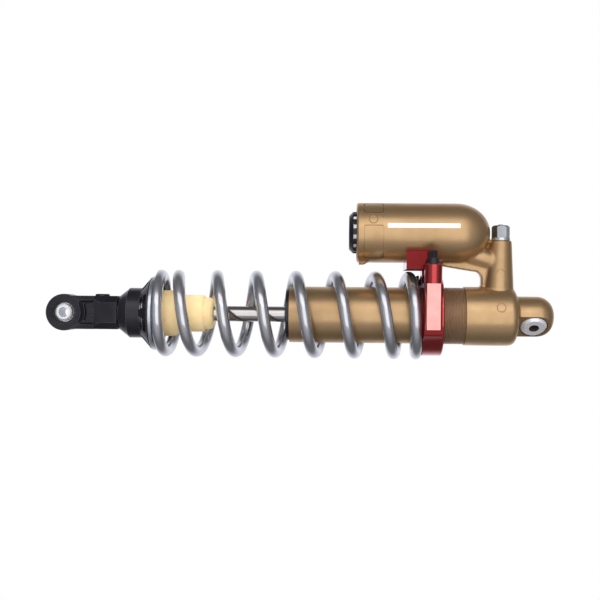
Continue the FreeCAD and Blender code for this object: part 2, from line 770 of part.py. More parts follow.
def build_reservoir_end():
    up = "reservoir_height"
    nose = "reservoir_end - cap_proud"
    groove_middle = "cap_left + cap_thickness * 0.6"
    body = turned("reservoir_cap", [
        (f"{nose}", "gas_valve_radius + 5"),
        (f"{nose} + 3", "gas_valve_radius + 5"),
        (f"{nose} + 3", "gas_valve_radius"),
        ("cap_right", "gas_valve_radius"),
        ("cap_right", "reservoir_bore"),
        (f"{groove_middle} + cord_ring", "reservoir_bore"),
        (f"{groove_middle} + cord_ring", "reservoir_bore - 2 * cord_ring"),
        (f"{groove_middle} - cord_ring", "reservoir_bore - 2 * cord_ring"),
        (f"{groove_middle} - cord_ring", "reservoir_bore"),
        ("cap_left", "reservoir_bore"),
        ("cap_left", "cap_radius + 0.6"),
        ("reservoir_end", "cap_radius"),
        (f"{nose} + cap_chamfer", "cap_radius"),
        (f"{nose}", "cap_radius - cap_chamfer"),
    ], up=up)
    notch = new_sketch(body, "YZ_Plane", ("0", "0", "reservoir_end - 3.4"))
    draw(notch, [
        ("-1.8", "cap_radius - 1.3"),
        ("1.8", "cap_radius - 1.3"),
        ("1.8", "cap_radius + 1"),
        ("-1.8", "cap_radius + 1"),
    ])
    around(body, cut(body, notch, "2.6"), "cap_notches")
    finish(body, "reservoir_cap")
    finish(turned("reservoir_cap_ring", o_ring(
        groove_middle, "reservoir_bore - 2 * cord_ring", "reservoir_bore"
    ), up=up), "reservoir_cap_ring")
    finish(turned("reservoir_circlip", [
        ("cap_left - 2 * wire_ring", "reservoir_bore - 1.4"),
        ("cap_left", "reservoir_bore - 1.4"),
        ("cap_left", "reservoir_bore + wire_ring"),
        ("cap_left - 2 * wire_ring", "reservoir_bore + wire_ring"),
    ], up=up), "reservoir_circlip")
    finish(turned("gas_valve", [
        (f"{nose} + 1", "0"),
        ("cap_right + 1", "0"),
        ("cap_right + 1", "gas_valve_radius - 1"),
        ("cap_right", "gas_valve_radius"),
        (f"{nose} + 3", "gas_valve_radius"),
        (f"{nose} + 3", "gas_valve_radius + 2"),
        (f"{nose} + 1", "gas_valve_radius + 2"),
    ], up=up), "gas_valve")
    groove_left = "floating_left + floating_length * 0.25"
    groove_right = "floating_right - floating_length * 0.35"
    ring_seat = "reservoir_bore - 2 * cord_ring"
    land = "reservoir_bore - working_gap"
    finish(turned("floating_piston", [
        ("floating_left + 5", "0"),
        ("floating_right", "0"),
        ("floating_right", land),
        (f"{groove_right} + 2 * cord_ring", land),
        (f"{groove_right} + 2 * cord_ring", ring_seat),
        (f"{groove_right}", ring_seat),
        (f"{groove_right}", land),
        (f"{groove_left} + 4", land),
        (f"{groove_left} + 4", "reservoir_bore - 1.5"),
        (f"{groove_left}", "reservoir_bore - 1.5"),
        (f"{groove_left}", land),
        ("floating_left", land),
        ("floating_left", "reservoir_bore - 5"),
        ("floating_left + 5", "reservoir_bore - 8"),
    ], up=up), "floating_piston")
    finish(turned("floating_piston_band", tube_of(
        f"{groove_left}", f"{groove_left} + 4", "reservoir_bore - 1.5", "reservoir_bore - running_gap"
    ), up=up), "floating_piston_band")
    finish(turned("floating_piston_ring", o_ring(
        f"{groove_right} + cord_ring", ring_seat, "reservoir_bore - running_gap"
    ), up=up), "floating_piston_ring")


def build_valve():
    """The compression valve in the top of the column, with its two adjusters."""
    groove_middle = "column_height - 5"
    ring_seat = "valve_bore - 1.6 * cord_ring"
    place = {"axis": "z", "along": "valve_place"}
    finish(turned("valve_body", [
        ("valve_foot + 6", "0"),
        ("hex_foot - 0.2", "0"),
        ("hex_foot - 0.2", "valve_flange"),
        ("column_height", "valve_flange"),
        ("column_height", "valve_bore"),
        (f"{groove_middle} + cord_ring", "valve_bore"),
        (f"{groove_middle} + cord_ring", ring_seat),
        (f"{groove_middle} - cord_ring", ring_seat),
        (f"{groove_middle} - cord_ring", "valve_bore"),
        ("port_height + port_radius + 2", "valve_bore"),
        ("port_height + port_radius + 2", "valve_bore - 4"),
        ("valve_foot + 6", "valve_bore - 4"),
    ], **place), "valve_body")
    finish(turned("valve_ring", o_ring(groove_middle, ring_seat, "valve_bore"), **place), "valve_ring")
    finish(turned("valve_piston", [
        ("valve_foot", "port_radius - 1"),
        ("valve_foot + 3", "port_radius - 1"),
        ("valve_foot + 3", "0"),
        ("valve_foot + 6", "0"),
        ("valve_foot + 6", "valve_bore"),
        ("valve_foot", "valve_bore"),
    ], **place), "valve_piston")
    body = new_body("high_speed_adjuster", "valve_place", up="hex_foot")
    sketch = new_sketch(body, "XY_Plane")
    draw_hexagon(sketch, "0", "0", "high_speed_flat")
    pad(body, sketch, "high_speed_height")
    well = new_sketch(body, "XY_Plane", ("0", "0", "3"))
    draw_circle(well, "0", "0", "low_speed_radius + 0.25")
    cut(body, well, back=True)
    top = value("high_speed_height")
    dress(body, "Chamfer", "0.7", lambda edge: edge.BoundBox.ZMin > top - 0.001
          and not isinstance(edge.Curve, Part.Circle))
    finish(body, "high_speed_adjuster")
    screw = turned("low_speed_adjuster", [
        ("hex_foot + 3.2", "0"),
        ("hex_top + low_speed_proud", "0"),
        ("hex_top + low_speed_proud", "low_speed_radius - 0.4"),
        ("hex_top + low_speed_proud - 0.4", "low_speed_radius"),
        ("hex_foot + 3.2", "low_speed_radius"),
    ], **place)
    slot = new_sketch(screw, "XY_Plane", ("0", "0", "hex_top + low_speed_proud"))
    draw(slot, [
        ("-low_speed_radius - 1", "-0.4"),
        ("low_speed_radius + 1", "-0.4"),
        ("low_speed_radius + 1", "0.4"),
        ("-low_speed_radius - 1", "0.4"),
    ])
    cut(screw, slot, "1")
    finish(screw, "low_speed_adjuster")


def build_bearing(prefix, along, tilt):
    """One eye's spherical bearing: race, ball, two sleeves, two rings and two seals."""
    race = f"{prefix}_race_radius"
    ball = f"{prefix}_ball_radius"
    flange = f"{prefix}_sleeve_flange"
    reach = f"{prefix}_sleeve_reach"
    place = {"axis": "y", "along": along, "tilt": tilt}
    socket = f"({ball} + running_gap)"
    race_hole = f"sqrt({socket} ^ 2 - race_half_width ^ 2)"
    ball_flat = f"sqrt({ball} ^ 2 - ball_half_width ^ 2)"
    spigot = f"({ball_flat} - 1.2)"
    finish(turned(f"{prefix}_race", [
        ("-race_half_width", race),
        ("-race_half_width", race_hole, f"-{socket}"),
        ("race_half_width", race_hole),
        ("race_half_width", race),
    ], **place), f"{prefix}_race")
    finish(turned(f"{prefix}_ball", [
        ("-ball_half_width", f"{spigot} + running_gap"),
        ("-ball_half_width", ball_flat, f"-{ball}"),
        ("ball_half_width", ball_flat),
        ("ball_half_width", f"{spigot} + running_gap"),
    ], **place), f"{prefix}_ball")
    neck = f"{flange} - 1.2" if prefix == "lower" else f"{ball_flat}"
    shoulder = "ball_half_width + 0.1"
    neck_end = f"{shoulder} + 2.2"
    chamfer = f"{prefix}_sleeve_chamfer"
    sleeve = turned(f"{prefix}_sleeve", [
        ("0.3", "bolt_hole"),
        (f"{reach}", "bolt_hole"),
        (f"{reach}", f"{flange} - {chamfer}"),
        (f"{reach} - {chamfer}", flange),
        (neck_end, flange),
        (neck_end, neck),
        (shoulder, neck),
        (shoulder, spigot),
        ("0.3", spigot),
    ], **place)
    pair(f"{prefix}_sleeves", sleeve, tilt)
    clip_left = "race_half_width"
    clip = turned(f"{prefix}_circlip", tube_of(
        clip_left, f"{clip_left} + 2 * wire_ring", f"{race} - 1.8", f"{race} + wire_ring"
    ), **place)
    pair(f"{prefix}_circlips", clip, tilt)
    seal_left = f"{clip_left} + 2 * wire_ring"
    seal_bore = f"{flange} + 1.4" if prefix == "lower" else f"{ball_flat} + 1.2"
    seal = turned(f"{prefix}_seal", tube_of(seal_left, f"{seal_left} + 0.7", seal_bore, race), **place)
    pair(f"{prefix}_seals", seal, tilt)


def pocket_outline(body, level, wider):
    """The pocket's outline at one depth: it hugs the eye's ring and the block's end."""
    high = f"(pocket_half_height + ({wider}) * pocket_lean)"
    ring = f"(eye_ring - ({wider}) * pocket_lean)"
    right = f"(shoulder - block_length + ({wider}) * 0.3)"
    # The two corners next to the ring are round
    reach = f"sqrt(({ring} + pocket_corner) ^ 2 - ({high} - pocket_corner) ^ 2)"
    share = f"({ring} / ({ring} + pocket_corner))"
    start = f"(lower_eye + {reach})"
    touch = f"(lower_eye + {reach} * {share})"
    touch_height = f"(({high} - pocket_corner) * {share})"
    outline = new_sketch(body, shift=("0", "0", level))
    draw(outline, [
        (start, f"-{high}"),
        (right, f"-{high}"),
        (right, high),
        (start, high, "pocket_corner"),
        (touch, touch_height, f"-{ring}"),
        (touch, f"-{touch_height}", "pocket_corner"),
    ])
    return outline


def build_clevis():
    body = new_body("lower_clevis")
    neck = new_sketch(body)
    draw(neck, [
        ("lower_eye", "-neck_half_height"),
        ("shoulder - block_length", "-neck_half_height"),
        ("shoulder - block_length", "neck_half_height"),
        ("lower_eye", "neck_half_height"),
    ])
    pad(body, neck, "eye_thickness", both=True)
    eye = new_sketch(body)
    draw_circle(eye, "lower_eye", "0", "eye_radius")
    pad(body, eye, "eye_thickness", both=True)
    # The block is a prism along the shock, with its long edges cut off
    block = new_sketch(body, "YZ_Plane", ("0", "0", "shoulder - block_length"))
    slope = "(neck_half_height - block_flat)"
    steps = [
        ("-block_half_depth", "-block_flat"),
        (f"-block_half_depth + {slope}", "-neck_half_height"),
        (f"block_half_depth - {slope}", "-neck_half_height"),
        ("block_half_depth", "-block_flat"),
        ("block_half_depth", "block_flat"),
        (f"block_half_depth - {slope}", "neck_half_height"),
        (f"-block_half_depth + {slope}", "neck_half_height"),
        ("-block_half_depth", "block_flat"),
    ]
    draw(block, steps)
    pad(body, block, "block_length")
    left = value("shoulder - block_length")
    right = value("shoulder")
    dress(body, "Chamfer", "2.2", lambda edge: abs(edge.BoundBox.XMin - right) < 0.001)
    # The block's sides slope up from the neck
    for side in ("", "-"):
        slope_cut = new_sketch(body, "XY_Plane")
        draw(slope_cut, [
            ("shoulder - block_length - 1", f"{side}(eye_thickness / 2)"),
            ("shoulder - block_length", f"{side}(eye_thickness / 2)"),
            ("shoulder - block_length + block_slope", f"{side}(block_half_depth)"),
            ("shoulder - block_length + block_slope", f"{side}(block_half_depth + 1)"),
            ("shoulder - block_length - 1", f"{side}(block_half_depth + 1)"),
        ])
        cut(body, slope_cut, both=True)
    spigot = new_sketch(body)
    draw(spigot, [
        ("shoulder - 1", "0"),
        ("clevis_tip", "0"),
        ("clevis_tip", "clevis_spigot_radius - 0.8"),
        ("clevis_tip - 0.8", "clevis_spigot_radius"),
        ("shoulder - 1", "clevis_spigot_radius"),
    ])
    turn_about(body, spigot)
    # Each side has a pocket with leaning walls between the eye and the block
    for side in ("", "-"):
        mouth = pocket_outline(body, f"{side}(eye_thickness / 2 + 0.2)", "0.2")
        floor = pocket_outline(body, f"{side}(eye_thickness / 2 - pocket_depth)", "-pocket_depth")
        pocket = body.newObject("PartDesign::SubtractiveLoft", "pocket")
        pocket.Profile = mouth
        pocket.Sections = [floor]
        doc.recompute()
    bore = new_sketch(body)
    draw_circle(bore, "lower_eye", "0", "lower_race_radius")
    cut(body, bore, both=True)
    for sign in ("", "-"):
        groove = new_sketch(body, shift=("0", "0", f"{sign}(race_half_width + wire_ring)"))
        draw_circle(groove, "lower_eye", "0", "lower_race_radius + wire_ring")
        cut(body, groove, "2 * wire_ring", both=True)
    # The rod's socket, and the rebound adjuster's well that meets its inner end
    socket = new_sketch(body)
    draw(socket, [
        ("adjuster_place", "0"),
        ("clevis_tip + 1", "0"),
        ("clevis_tip + 1", "rod_thread"),
        ("rod_root", "rod_thread"),
        ("rod_root", "rod_bore"),
        ("adjuster_place", "rod_bore"),
    ])
    turn_about(body, socket, away=True)
    well = new_sketch(body, shift=("adjuster_place", "0", "0"))
    floor = "neck_half_height - adjuster_depth"
    draw(well, [
        ("0", f"{floor}"),
        ("adjuster_stem + 0.1", f"{floor}"),
        ("adjuster_stem + 0.1", "neck_half_height - 3"),
        ("adjuster_head + 0.2", "neck_half_height - 3"),
        ("adjuster_head + 0.2", "neck_half_height + 1"),
        ("0", "neck_half_height + 1"),
    ])
    turn_about(body, well, "V_Axis", away=True)
    finish(body, "lower_clevis")


def build_rebound_adjuster():
    floor = "neck_half_height - adjuster_depth"
    top = "neck_half_height + adjuster_proud"
    screw = turned("rebound_adjuster", [
        (f"{floor} + 0.3", "0"),
        (f"{top}", "0"),
        (f"{top}", "adjuster_head - 0.8"),
        (f"{top} - 0.8", "adjuster_head"),
        ("neck_half_height - 2.8", "adjuster_head"),
        ("neck_half_height - 2.8", "adjuster_stem"),
        (f"{floor} + 4", "adjuster_stem"),
        (f"{floor} + 0.3", "adjuster_stem - 3.7"),
    ], axis="z", along="adjuster_place")
    slot = new_sketch(screw, "XY_Plane", ("0", "0", top))
    draw(slot, [
        ("-adjuster_head - 1", "-0.7"),
        ("adjuster_head + 1", "-0.7"),
        ("adjuster_head + 1", "0.7"),
        ("-adjuster_head - 1", "0.7"),
    ])
    cut(screw, slot, "1.4")
    finish(screw, "rebound_adjuster")
    finish(turned("rebound_rod", [
        ("adjuster_place + 0.6", "0"),
        ("rod_tip + 3", "0"),
        ("rod_tip + 1", "rod_bore - running_gap"),
        ("adjuster_place + 2.6", "rod_bore - running_gap"),
        ("adjuster_place + 0.6", "rod_bore - 1.6"),
    ]), "rebound_rod")


def build_rod():
    finish(turned("piston_rod", [
        ("rod_root", "rod_bore"),
        ("rod_tip", "rod_bore"),
        ("rod_tip", "rod_tail"),
        ("piston_left - shim_stack", "rod_tail"),
        ("piston_left - shim_stack", "rod_radius"),
        ("clevis_tip", "rod_radius"),
        ("clevis_tip", "rod_thread"),
        ("rod_root", "rod_thread"),
    ]), "piston_rod")
    finish(turned("topout_bumper", [
        ("bumper_left", "rod_radius + 0.02"),
        ("bumper_left + bumper_length", "rod_radius + 0.02"),
        ("bumper_left + bumper_length", "bumper_radius"),
        ("bumper_left + 2", "bumper_radius"),
        ("bumper_left", "bumper_radius - 2"),
    ]), "topout_bumper")
    groove_left = "piston_left + piston_length * 0.25"
    groove_right = "piston_right - piston_length * 0.25"
    piston = turned("main_piston", [
        ("piston_left", "rod_tail"),
        ("piston_right", "rod_tail"),
        ("piston_right", "tube_bore - 1.2"),
        ("piston_right - 0.9", "tube_bore - working_gap"),
        (groove_right, "tube_bore - working_gap"),
        (groove_right, "tube_bore - 1.6"),
        (groove_left, "tube_bore - 1.6"),
        (groove_left, "tube_bore - working_gap"),
        ("piston_left + 0.9", "tube_bore - working_gap"),
        ("piston_left", "tube_bore - 1.2"),
    ])
    port = new_sketch(piston, "YZ_Plane")
    draw_circle(port, "0", "(rod_tail + tube_bore) / 2", "piston_port")
    around(piston, cut(piston, port, both=True), "piston_ports")
    finish(piston, "main_piston")
    finish(turned("piston_band", tube_of(
        groove_left, groove_right, "tube_bore - 1.6", "tube_bore - running_gap"
    )), "piston_band")
    build_shims("compression_shims", "piston_left - shim_stack", 1)
    build_shims("rebound_shims", "piston_right", -1)
    nut = new_body("piston_nut", "nut_left")
    face = new_sketch(nut, "YZ_Plane")
    draw_hexagon(face, "0", "0", "nut_flat")
    draw_circle(face, "0", "0", "rod_tail")
    pad(nut, face, "nut_height")
    finish(nut, "piston_nut")


def build_shims(label, left, side):
    """Three steel discs, the widest next to the piston."""
    disc = "shim_stack / 3"
    sections = []
    for index in range(3):
        near = index if side < 0 else 2 - index
        outer = f"bumper_radius + 5 - {1.6 * near}"
        sections.append(turned(f"{label}_disc", tube_of(
            f"{left} + {index} * {disc}", f"{left} + {index + 1} * {disc}", "rod_tail", outer
        )))
    stack = doc.addObject("Part::Compound", label)
    stack.Links = sections
    doc.recompute()
    finish(stack, label)


def build_lower_seat():
    hub_right = "shoulder + hub_length"
    body = turned("spring_retainer", [
        ("shoulder", "clevis_spigot_radius + running_gap"),
        ("clevis_tip - 2", "clevis_spigot_radius + running_gap"),
        ("clevis_tip - 2", "bump_washer_radius + 0.6"),
        ("retainer_face - 3", "seat_pilot_radius - retainer_wall"),
        ("retainer_face + seat_pilot_length", "seat_pilot_radius - retainer_wall"),
        ("retainer_face + seat_pilot_length", "seat_pilot_radius - 1"),
        ("retainer_face + seat_pilot_length - 1", "seat_pilot_radius"),
        ("retainer_face", "seat_pilot_radius"),
        ("retainer_face", "retainer_radius"),
        ("retainer_face - 1.4", "retainer_radius"),
        (hub_right, "hub_radius"),
        ("shoulder + hub_cone + 0.8", "hub_radius"),
        ("shoulder + hub_cone", "hub_radius - 0.8"),
        ("shoulder", "clevis_spigot_radius + 3"),
    ])
    # A rib, not a window, faces straight to the side
    window = new_sketch(body, "XY_Plane", turn="180 / retainer_windows")
    draw(window, [
        ("shoulder + hub_length + 1", "-window_width / 2"),
        ("retainer_face - 2.6", "-window_width / 2"),
        ("retainer_face - 2.6", "window_width / 2"),
        ("shoulder + hub_length + 1", "window_width / 2"),
    ])
    around(body, cut(body, window, "retainer_radius + 2", back=True), "retainer_windows")
    # A slot as wide as the rod lets the retainer come off sideways, away from the clevis
    slot = new_sketch(body, "YZ_Plane", ("0", "0", "shoulder - 1"))
    draw(slot, [
        ("0", "-rod_radius - 0.5"),
        ("retainer_radius + 2", "-rod_radius - 0.5"),
        ("retainer_radius + 2", "rod_radius + 0.5"),
        ("0", "rod_radius + 0.5"),
    ])
    cut(body, slot, back=True)
    finish(body, "spring_retainer")
    finish(turned("seat_ring", [
        ("retainer_face", "seat_pilot_radius + 0.3"),
        ("seat_ring_face", "seat_pilot_radius + 0.3"),
        ("seat_ring_face", "seat_ring_radius - 0.6"),
        ("seat_ring_face - 0.6", "seat_ring_radius"),
        ("retainer_face + 0.6", "seat_ring_radius"),
        ("retainer_face", "seat_ring_radius - 0.6"),
    ]), "seat_ring")
    finish(turned("slip_washer", tube_of(
        "seat_ring_face", "spring_low", "seat_pilot_radius + 0.3", "slip_washer_radius"
    )), "slip_washer")
    finish(turned("bump_washer", tube_of(
        "clevis_tip", "bump_low", "rod_radius + 0.1", "bump_washer_radius"
    )), "bump_washer")
    inner = "rod_radius + 0.2"
    finish(turned("bump_stop", [
        ("bump_low", inner),
        ("bump_high", inner),
        ("bump_high", "bump_tip - 3", "3"),
        ("bump_high - 3", "bump_tip"),
        ("bump_high - 7", "bump_tip", "-2"),
        ("bump_high - 9", "bump_tip", "2"),
        ("bump_high - 11", "bump_waist"),
        ("bump_high - 24", "bump_waist", "-2"),
        ("bump_high - 26", "bump_waist"),
        ("bump_high - 33", "bump_waist", "-6"),
        ("bump_high - 37", "bump_waist + 1.4"),
        ("bump_high - 41", "bump_radius - 1", "3"),
        ("bump_high - 43", "bump_radius"),
        ("bump_low + 12", "bump_radius", "6"),
        ("bump_low + 8", "bump_washer_radius"),
        ("bump_low", "bump_washer_radius"),
    ]), "bump_stop")


def spring_line():
    """Places along the spring's wire, one each quarter turn, with the direction of the wire.
    The turns start at the back of the lower seat, come over the top to the front and close up
    at both ends, where the wire is ground flat."""
    low = value("spring_low")
    high = value("spring_high")
    dead = value("end_pitch")
    radius = value("coil_radius")
    first, last = -0.25, 7.95
    open_from, open_full = 0.24, 1.22
    close_from, close_full = 6.27, 7.57
    gain = (close_from + close_full - open_from - open_full) / 2
    free = (high - low - dead * (last - first)) / gain

    def risen(turn, start, full):
        """How much of a pitch change from start to full has been added up at a turn."""
        if turn <= start:
            return 0.0
        if turn >= full:
            return turn - (start + full) / 2
        return (turn - start) ** 2 / (2 * (full - start))

    def steepness(turn, start, full):
        return min(max((turn - start) / (full - start), 0.0), 1.0)

    def at(turn):
        rise = risen(turn, open_from, open_full) - risen(turn, close_from, close_full)
        along = low + dead * (turn - first) + free * rise
        angle = 2 * math.pi * turn
        return FreeCAD.Vector(along, -radius * math.sin(angle), radius * math.cos(angle))

    def heading(turn):
        steep = steepness(turn, open_from, open_full) - steepness(turn, close_from, close_full)
        angle = 2 * math.pi * turn
        around_axis = FreeCAD.Vector(0, -math.cos(angle), -math.sin(angle)) * (2 * math.pi * radius)
        return (around_axis + FreeCAD.Vector(dead + free * steep, 0, 0)).normalize()

    quarters = round((last - first) * 4)
    step = (last - first) / quarters
    turns = [first + step * index for index in range(quarters + 1)]
    return [(at(turn), heading(turn)) for turn in turns], at, (first, last)


def arc_from(start, heading, end):
    """The arc that leaves start in a direction and comes to end."""
    chord = end - start
    bisector = (heading + FreeCAD.Vector(chord).normalize()).normalize()
    half_turn = math.acos(min(1.0, heading.dot(chord) / chord.Length))
    middle = start + bisector * (chord.Length / (2 * math.cos(half_turn / 2)))
    return Part.Arc(start, middle, end).toShape()


def two_arcs(start, heading, end, end_heading):
    """Two arcs that meet smoothly and join two places in their own directions."""
    span = end - start
    both = heading + end_heading
    spread = 2 * (1 - heading.dot(end_heading))
    reach = span.dot(both)
    arm = (math.sqrt(reach**2 + spread * span.dot(span)) - reach) / spread
    meeting = (start + heading * arm + end - end_heading * arm) / 2
    first = arc_from(start, heading, meeting)
    second = arc_from(end, end_heading * -1, meeting)
    return [first, second]


def build_spring():
    spots, at, (first, last) = spring_line()
    edges = []
    for (start, heading), (end, end_heading) in zip(spots, spots[1:]):
        edges.extend(two_arcs(start, heading, end, end_heading))
    path = Part.Wire(Part.__sortEdges__(edges))
    wire_radius = value("wire_radius")
    section = Part.Wire([Part.makeCircle(wire_radius, spots[0][0], spots[0][1])])
    tube = path.makePipeShell([section], True, False)
    low = value("spring_low")
    length = value("spring_high") - low
    ends = Part.makeCylinder(
        value("coil_radius") * 2, length, FreeCAD.Vector(low, 0, 0), FreeCAD.Vector(1, 0, 0)
    )
    spring = doc.addObject("Part::Feature", "main_spring")
    spring.Shape = tube.common(ends)
    finish(spring, "main_spring")
    turns = [first + (last - first) * index / 800 for index in range(801)]
    places = [at(turn) for turn in turns]
    nearest = min(
        (place - other).Length
        for place, turn in zip(places, turns)
        for other, later in zip(places, turns)
        if later - turn > 0.6
    )
    print(f"spring: least gap between turns {nearest - 2 * wire_radius:.2f} mm, "
          f"wire {path.Length:.0f} mm long")


def build_preload_housing():
    """The ring that carries the worm, pushes the spring and is kept from turning."""
    body = new_body("preload_housing")
    turn_about(body, draw(new_sketch(body), [
        ("spring_high", "ring_hole"),
        ("ring_cavity_left", "ring_hole"),
        ("ring_cavity_left", "ring_cavity"),
        ("ring_right", "ring_cavity"),
        ("ring_right", "ring_radius"),
        ("spring_high + 1.2", "ring_radius"),
        ("spring_high", "ring_radius - 1.2"),
    ]))
    front = "(worm_out + worm_cavity + pad_wall)"
    block = new_sketch(body, "XY_Plane", ("0", "0", "-pad_foot"))
    draw(block, [
        ("tower_left", "-thread_radius + 6"),
        ("tower_left", f"-{front} + 4.2"),
        ("worm_place - pad_half_width", f"-{front}"),
        ("worm_place + pad_half_width", f"-{front}"),
        ("ring_right", f"-{front} + 2.4"),
        ("ring_right", "-thread_radius + 6"),
    ])
    pad(body, block, "pad_foot + pad_top")
    # Below the pad the block slopes back into the ring
    toe = new_sketch(body, "YZ_Plane", ("0", "0", "tower_left"))
    draw(toe, [
        ("-ring_cavity", "-pad_foot"),
        (f"-{front} + 1.6", "-pad_foot"),
        (f"-{front} + 1.6", "-pad_foot - 4.4"),
        (f"-{front} + 5", "-pad_foot - 7"),
        ("-ring_cavity + 5", "-pad_foot - 12"),
        ("-ring_cavity + 5", "-pad_foot"),
    ])
    pad(body, toe, "ring_right - tower_left")
    boss = new_sketch(body, "XY_Plane", ("0", "0", "pad_top"))
    draw_circle(boss, "worm_place", "-worm_out", "boss_radius")
    pad(body, boss, "boss_height - pad_top")
    top = value("boss_height")
    dress(body, "Chamfer", "0.8", lambda edge: edge.BoundBox.ZMin > top - 0.001)
    # The tower on top carries the block that bears on the reservoir
    tower = new_sketch(body, "YZ_Plane", ("0", "0", "tower_left"))
    draw(tower, [
        ("-tower_half_width", "ring_cavity + 1"),
        ("tower_half_width", "ring_cavity + 1"),
        ("tower_half_width", "saddle_foot"),
        ("-tower_half_width", "saddle_foot"),
    ])
    pad(body, tower, "tower_length")
    hollow_housing(body)
    finish(body, "preload_housing")


def hollow_housing(body):
    """Room for the gear, the worm and the screws."""
    gear_room = new_sketch(body)
    draw(gear_room, [
        ("spring_high - 1", "0"),
        ("ring_right + 1", "0"),
        ("ring_right + 1", "ring_cavity"),
        ("ring_cavity_left", "ring_cavity"),
        ("ring_cavity_left", "ring_hole"),
        ("spring_high - 1", "ring_hole"),
    ])
    turn_about(body, gear_room, away=True)
    worm_room = new_sketch(body, shift=("worm_place", "0", "worm_out"))
    low = "-worm_length / 2 - 1"
    draw(worm_room, [
        ("0", f"{low} - worm_tail_room"),
        ("worm_tail + 2", f"{low} - worm_tail_room"),
        ("worm_tail + 2", f"{low}"),
        ("worm_cavity", f"{low}"),
        ("worm_cavity", "boss_height + 1"),
        ("0", "boss_height + 1"),
    ])
    turn_about(body, worm_room, "V_Axis", away=True)
    screw_circle = "(ring_cavity + ring_radius) / 2"
    hole = new_sketch(body, "YZ_Plane", ("0", "0", "ring_right"))
    draw_circle(hole, f"-{screw_circle} * sin(45)", f"{screw_circle} * cos(45)", "cover_screw_radius")
    around(body, cut(body, hole, "cover_screw_bite + 2", back=False), "cover_screws")
    for side in ("-", ""):
        thread = new_sketch(body, "XY_Plane", ("0", "0", "saddle_foot"))
        draw_circle(thread, "block_screw_along", f"{side}block_screw_across", "block_screw_radius")
        cut(body, thread, "block_screw_bite + 1")


def build_preload_trim():
    """The cover, its screws, the thrust washer and the worm's two bushes."""
    screw_circle = "(ring_cavity + ring_radius) / 2"
    cover = turned("preload_cover", [
        ("ring_right", "ring_hole"),
        ("cover_right", "ring_hole"),
        ("cover_right", "ring_radius - 1"),
        ("cover_right - 1", "ring_radius"),
        ("ring_right", "ring_radius"),
    ])
    hole = new_sketch(cover, "YZ_Plane", ("0", "0", "cover_right"))
    draw_circle(hole, f"-{screw_circle} * sin(45)", f"{screw_circle} * cos(45)", "cover_screw_radius")
    around(cover, cut(cover, hole, "cover_thickness"), "cover_screws")
    sink = new_sketch(cover, "YZ_Plane", ("0", "0", "cover_right"))
    draw_circle(sink, f"-{screw_circle} * sin(45)", f"{screw_circle} * cos(45)", "cover_screw_head")
    around(cover, cut(cover, sink, "cover_screw_head_height"), "cover_screws")
    finish(cover, "preload_cover")
    length = value("cover_thickness + cover_screw_bite")
    screw = socket_screw("cover_screw", length - value("cover_screw_head_height"))
    along_x = FreeCAD.Rotation(FreeCAD.Vector(0, 0, 1), FreeCAD.Vector(1, 0, 0))
    start = value("cover_right") - length
    radius = value(screw_circle)
    places = []
    for index in range(COUNTS["cover_screws"]):
        angle = math.radians(45 + 360 * index / COUNTS["cover_screws"])
        spot = FreeCAD.Vector(start, -radius * math.sin(angle), radius * math.cos(angle))
        places.append(FreeCAD.Placement(spot, along_x))
    set_of("cover_screws", screw, places)
    finish(turned("thrust_washer", tube_of(
        "ring_cavity_left", "ring_cavity_left + thrust_thickness", "ring_hole", "gear_root"
    )), "thrust_washer")
    low = "-worm_length / 2 - 1"
    out = {"axis": "z", "along": "worm_place", "across": "-worm_out"}
    lower = turned("worm_bush_low", tube_of(
        f"{low} - worm_tail_room", f"{low}", "worm_tail + running_gap", "worm_tail + 2"
    ), **out)
    upper = turned("worm_bush_top", tube_of(
        "boss_height - 14", "boss_height - 0.8", "worm_shaft + running_gap", "worm_cavity"
    ), **out)
    bushes = doc.addObject("Part::Compound", "worm_bushes")
    bushes.Links = [lower, upper]
    doc.recompute()
    finish(bushes, "worm_bushes")


def socket_screw(size, shank_length):
    """A screw standing on its shank's end, with a hexagon socket in its head."""
    head_radius = value(f"{size}_head")
    head_height = value(f"{size}_head_height")
    shank = Part.makeCylinder(value(f"{size}_radius"), shank_length)
    head = Part.makeCylinder(head_radius, head_height, FreeCAD.Vector(0, 0, shank_length))
    socket = socket_for(head_radius * 0.41, head_height * 0.63, shank_length + head_height)
    return shank.fuse(head).removeSplitter().cut(socket)


def socket_for(flat, depth, top):
    """A hexagon socket, cut down from the top of a screw's head."""
    corners = []
    for index in range(7):
        angle = math.radians(60 * index)
        reach = flat / math.cos(math.radians(30))
        corners.append(FreeCAD.Vector(reach * math.cos(angle), reach * math.sin(angle), top - depth))
    face = Part.Face(Part.makePolygon(corners))
    return face.extrude(FreeCAD.Vector(0, 0, depth + 1))


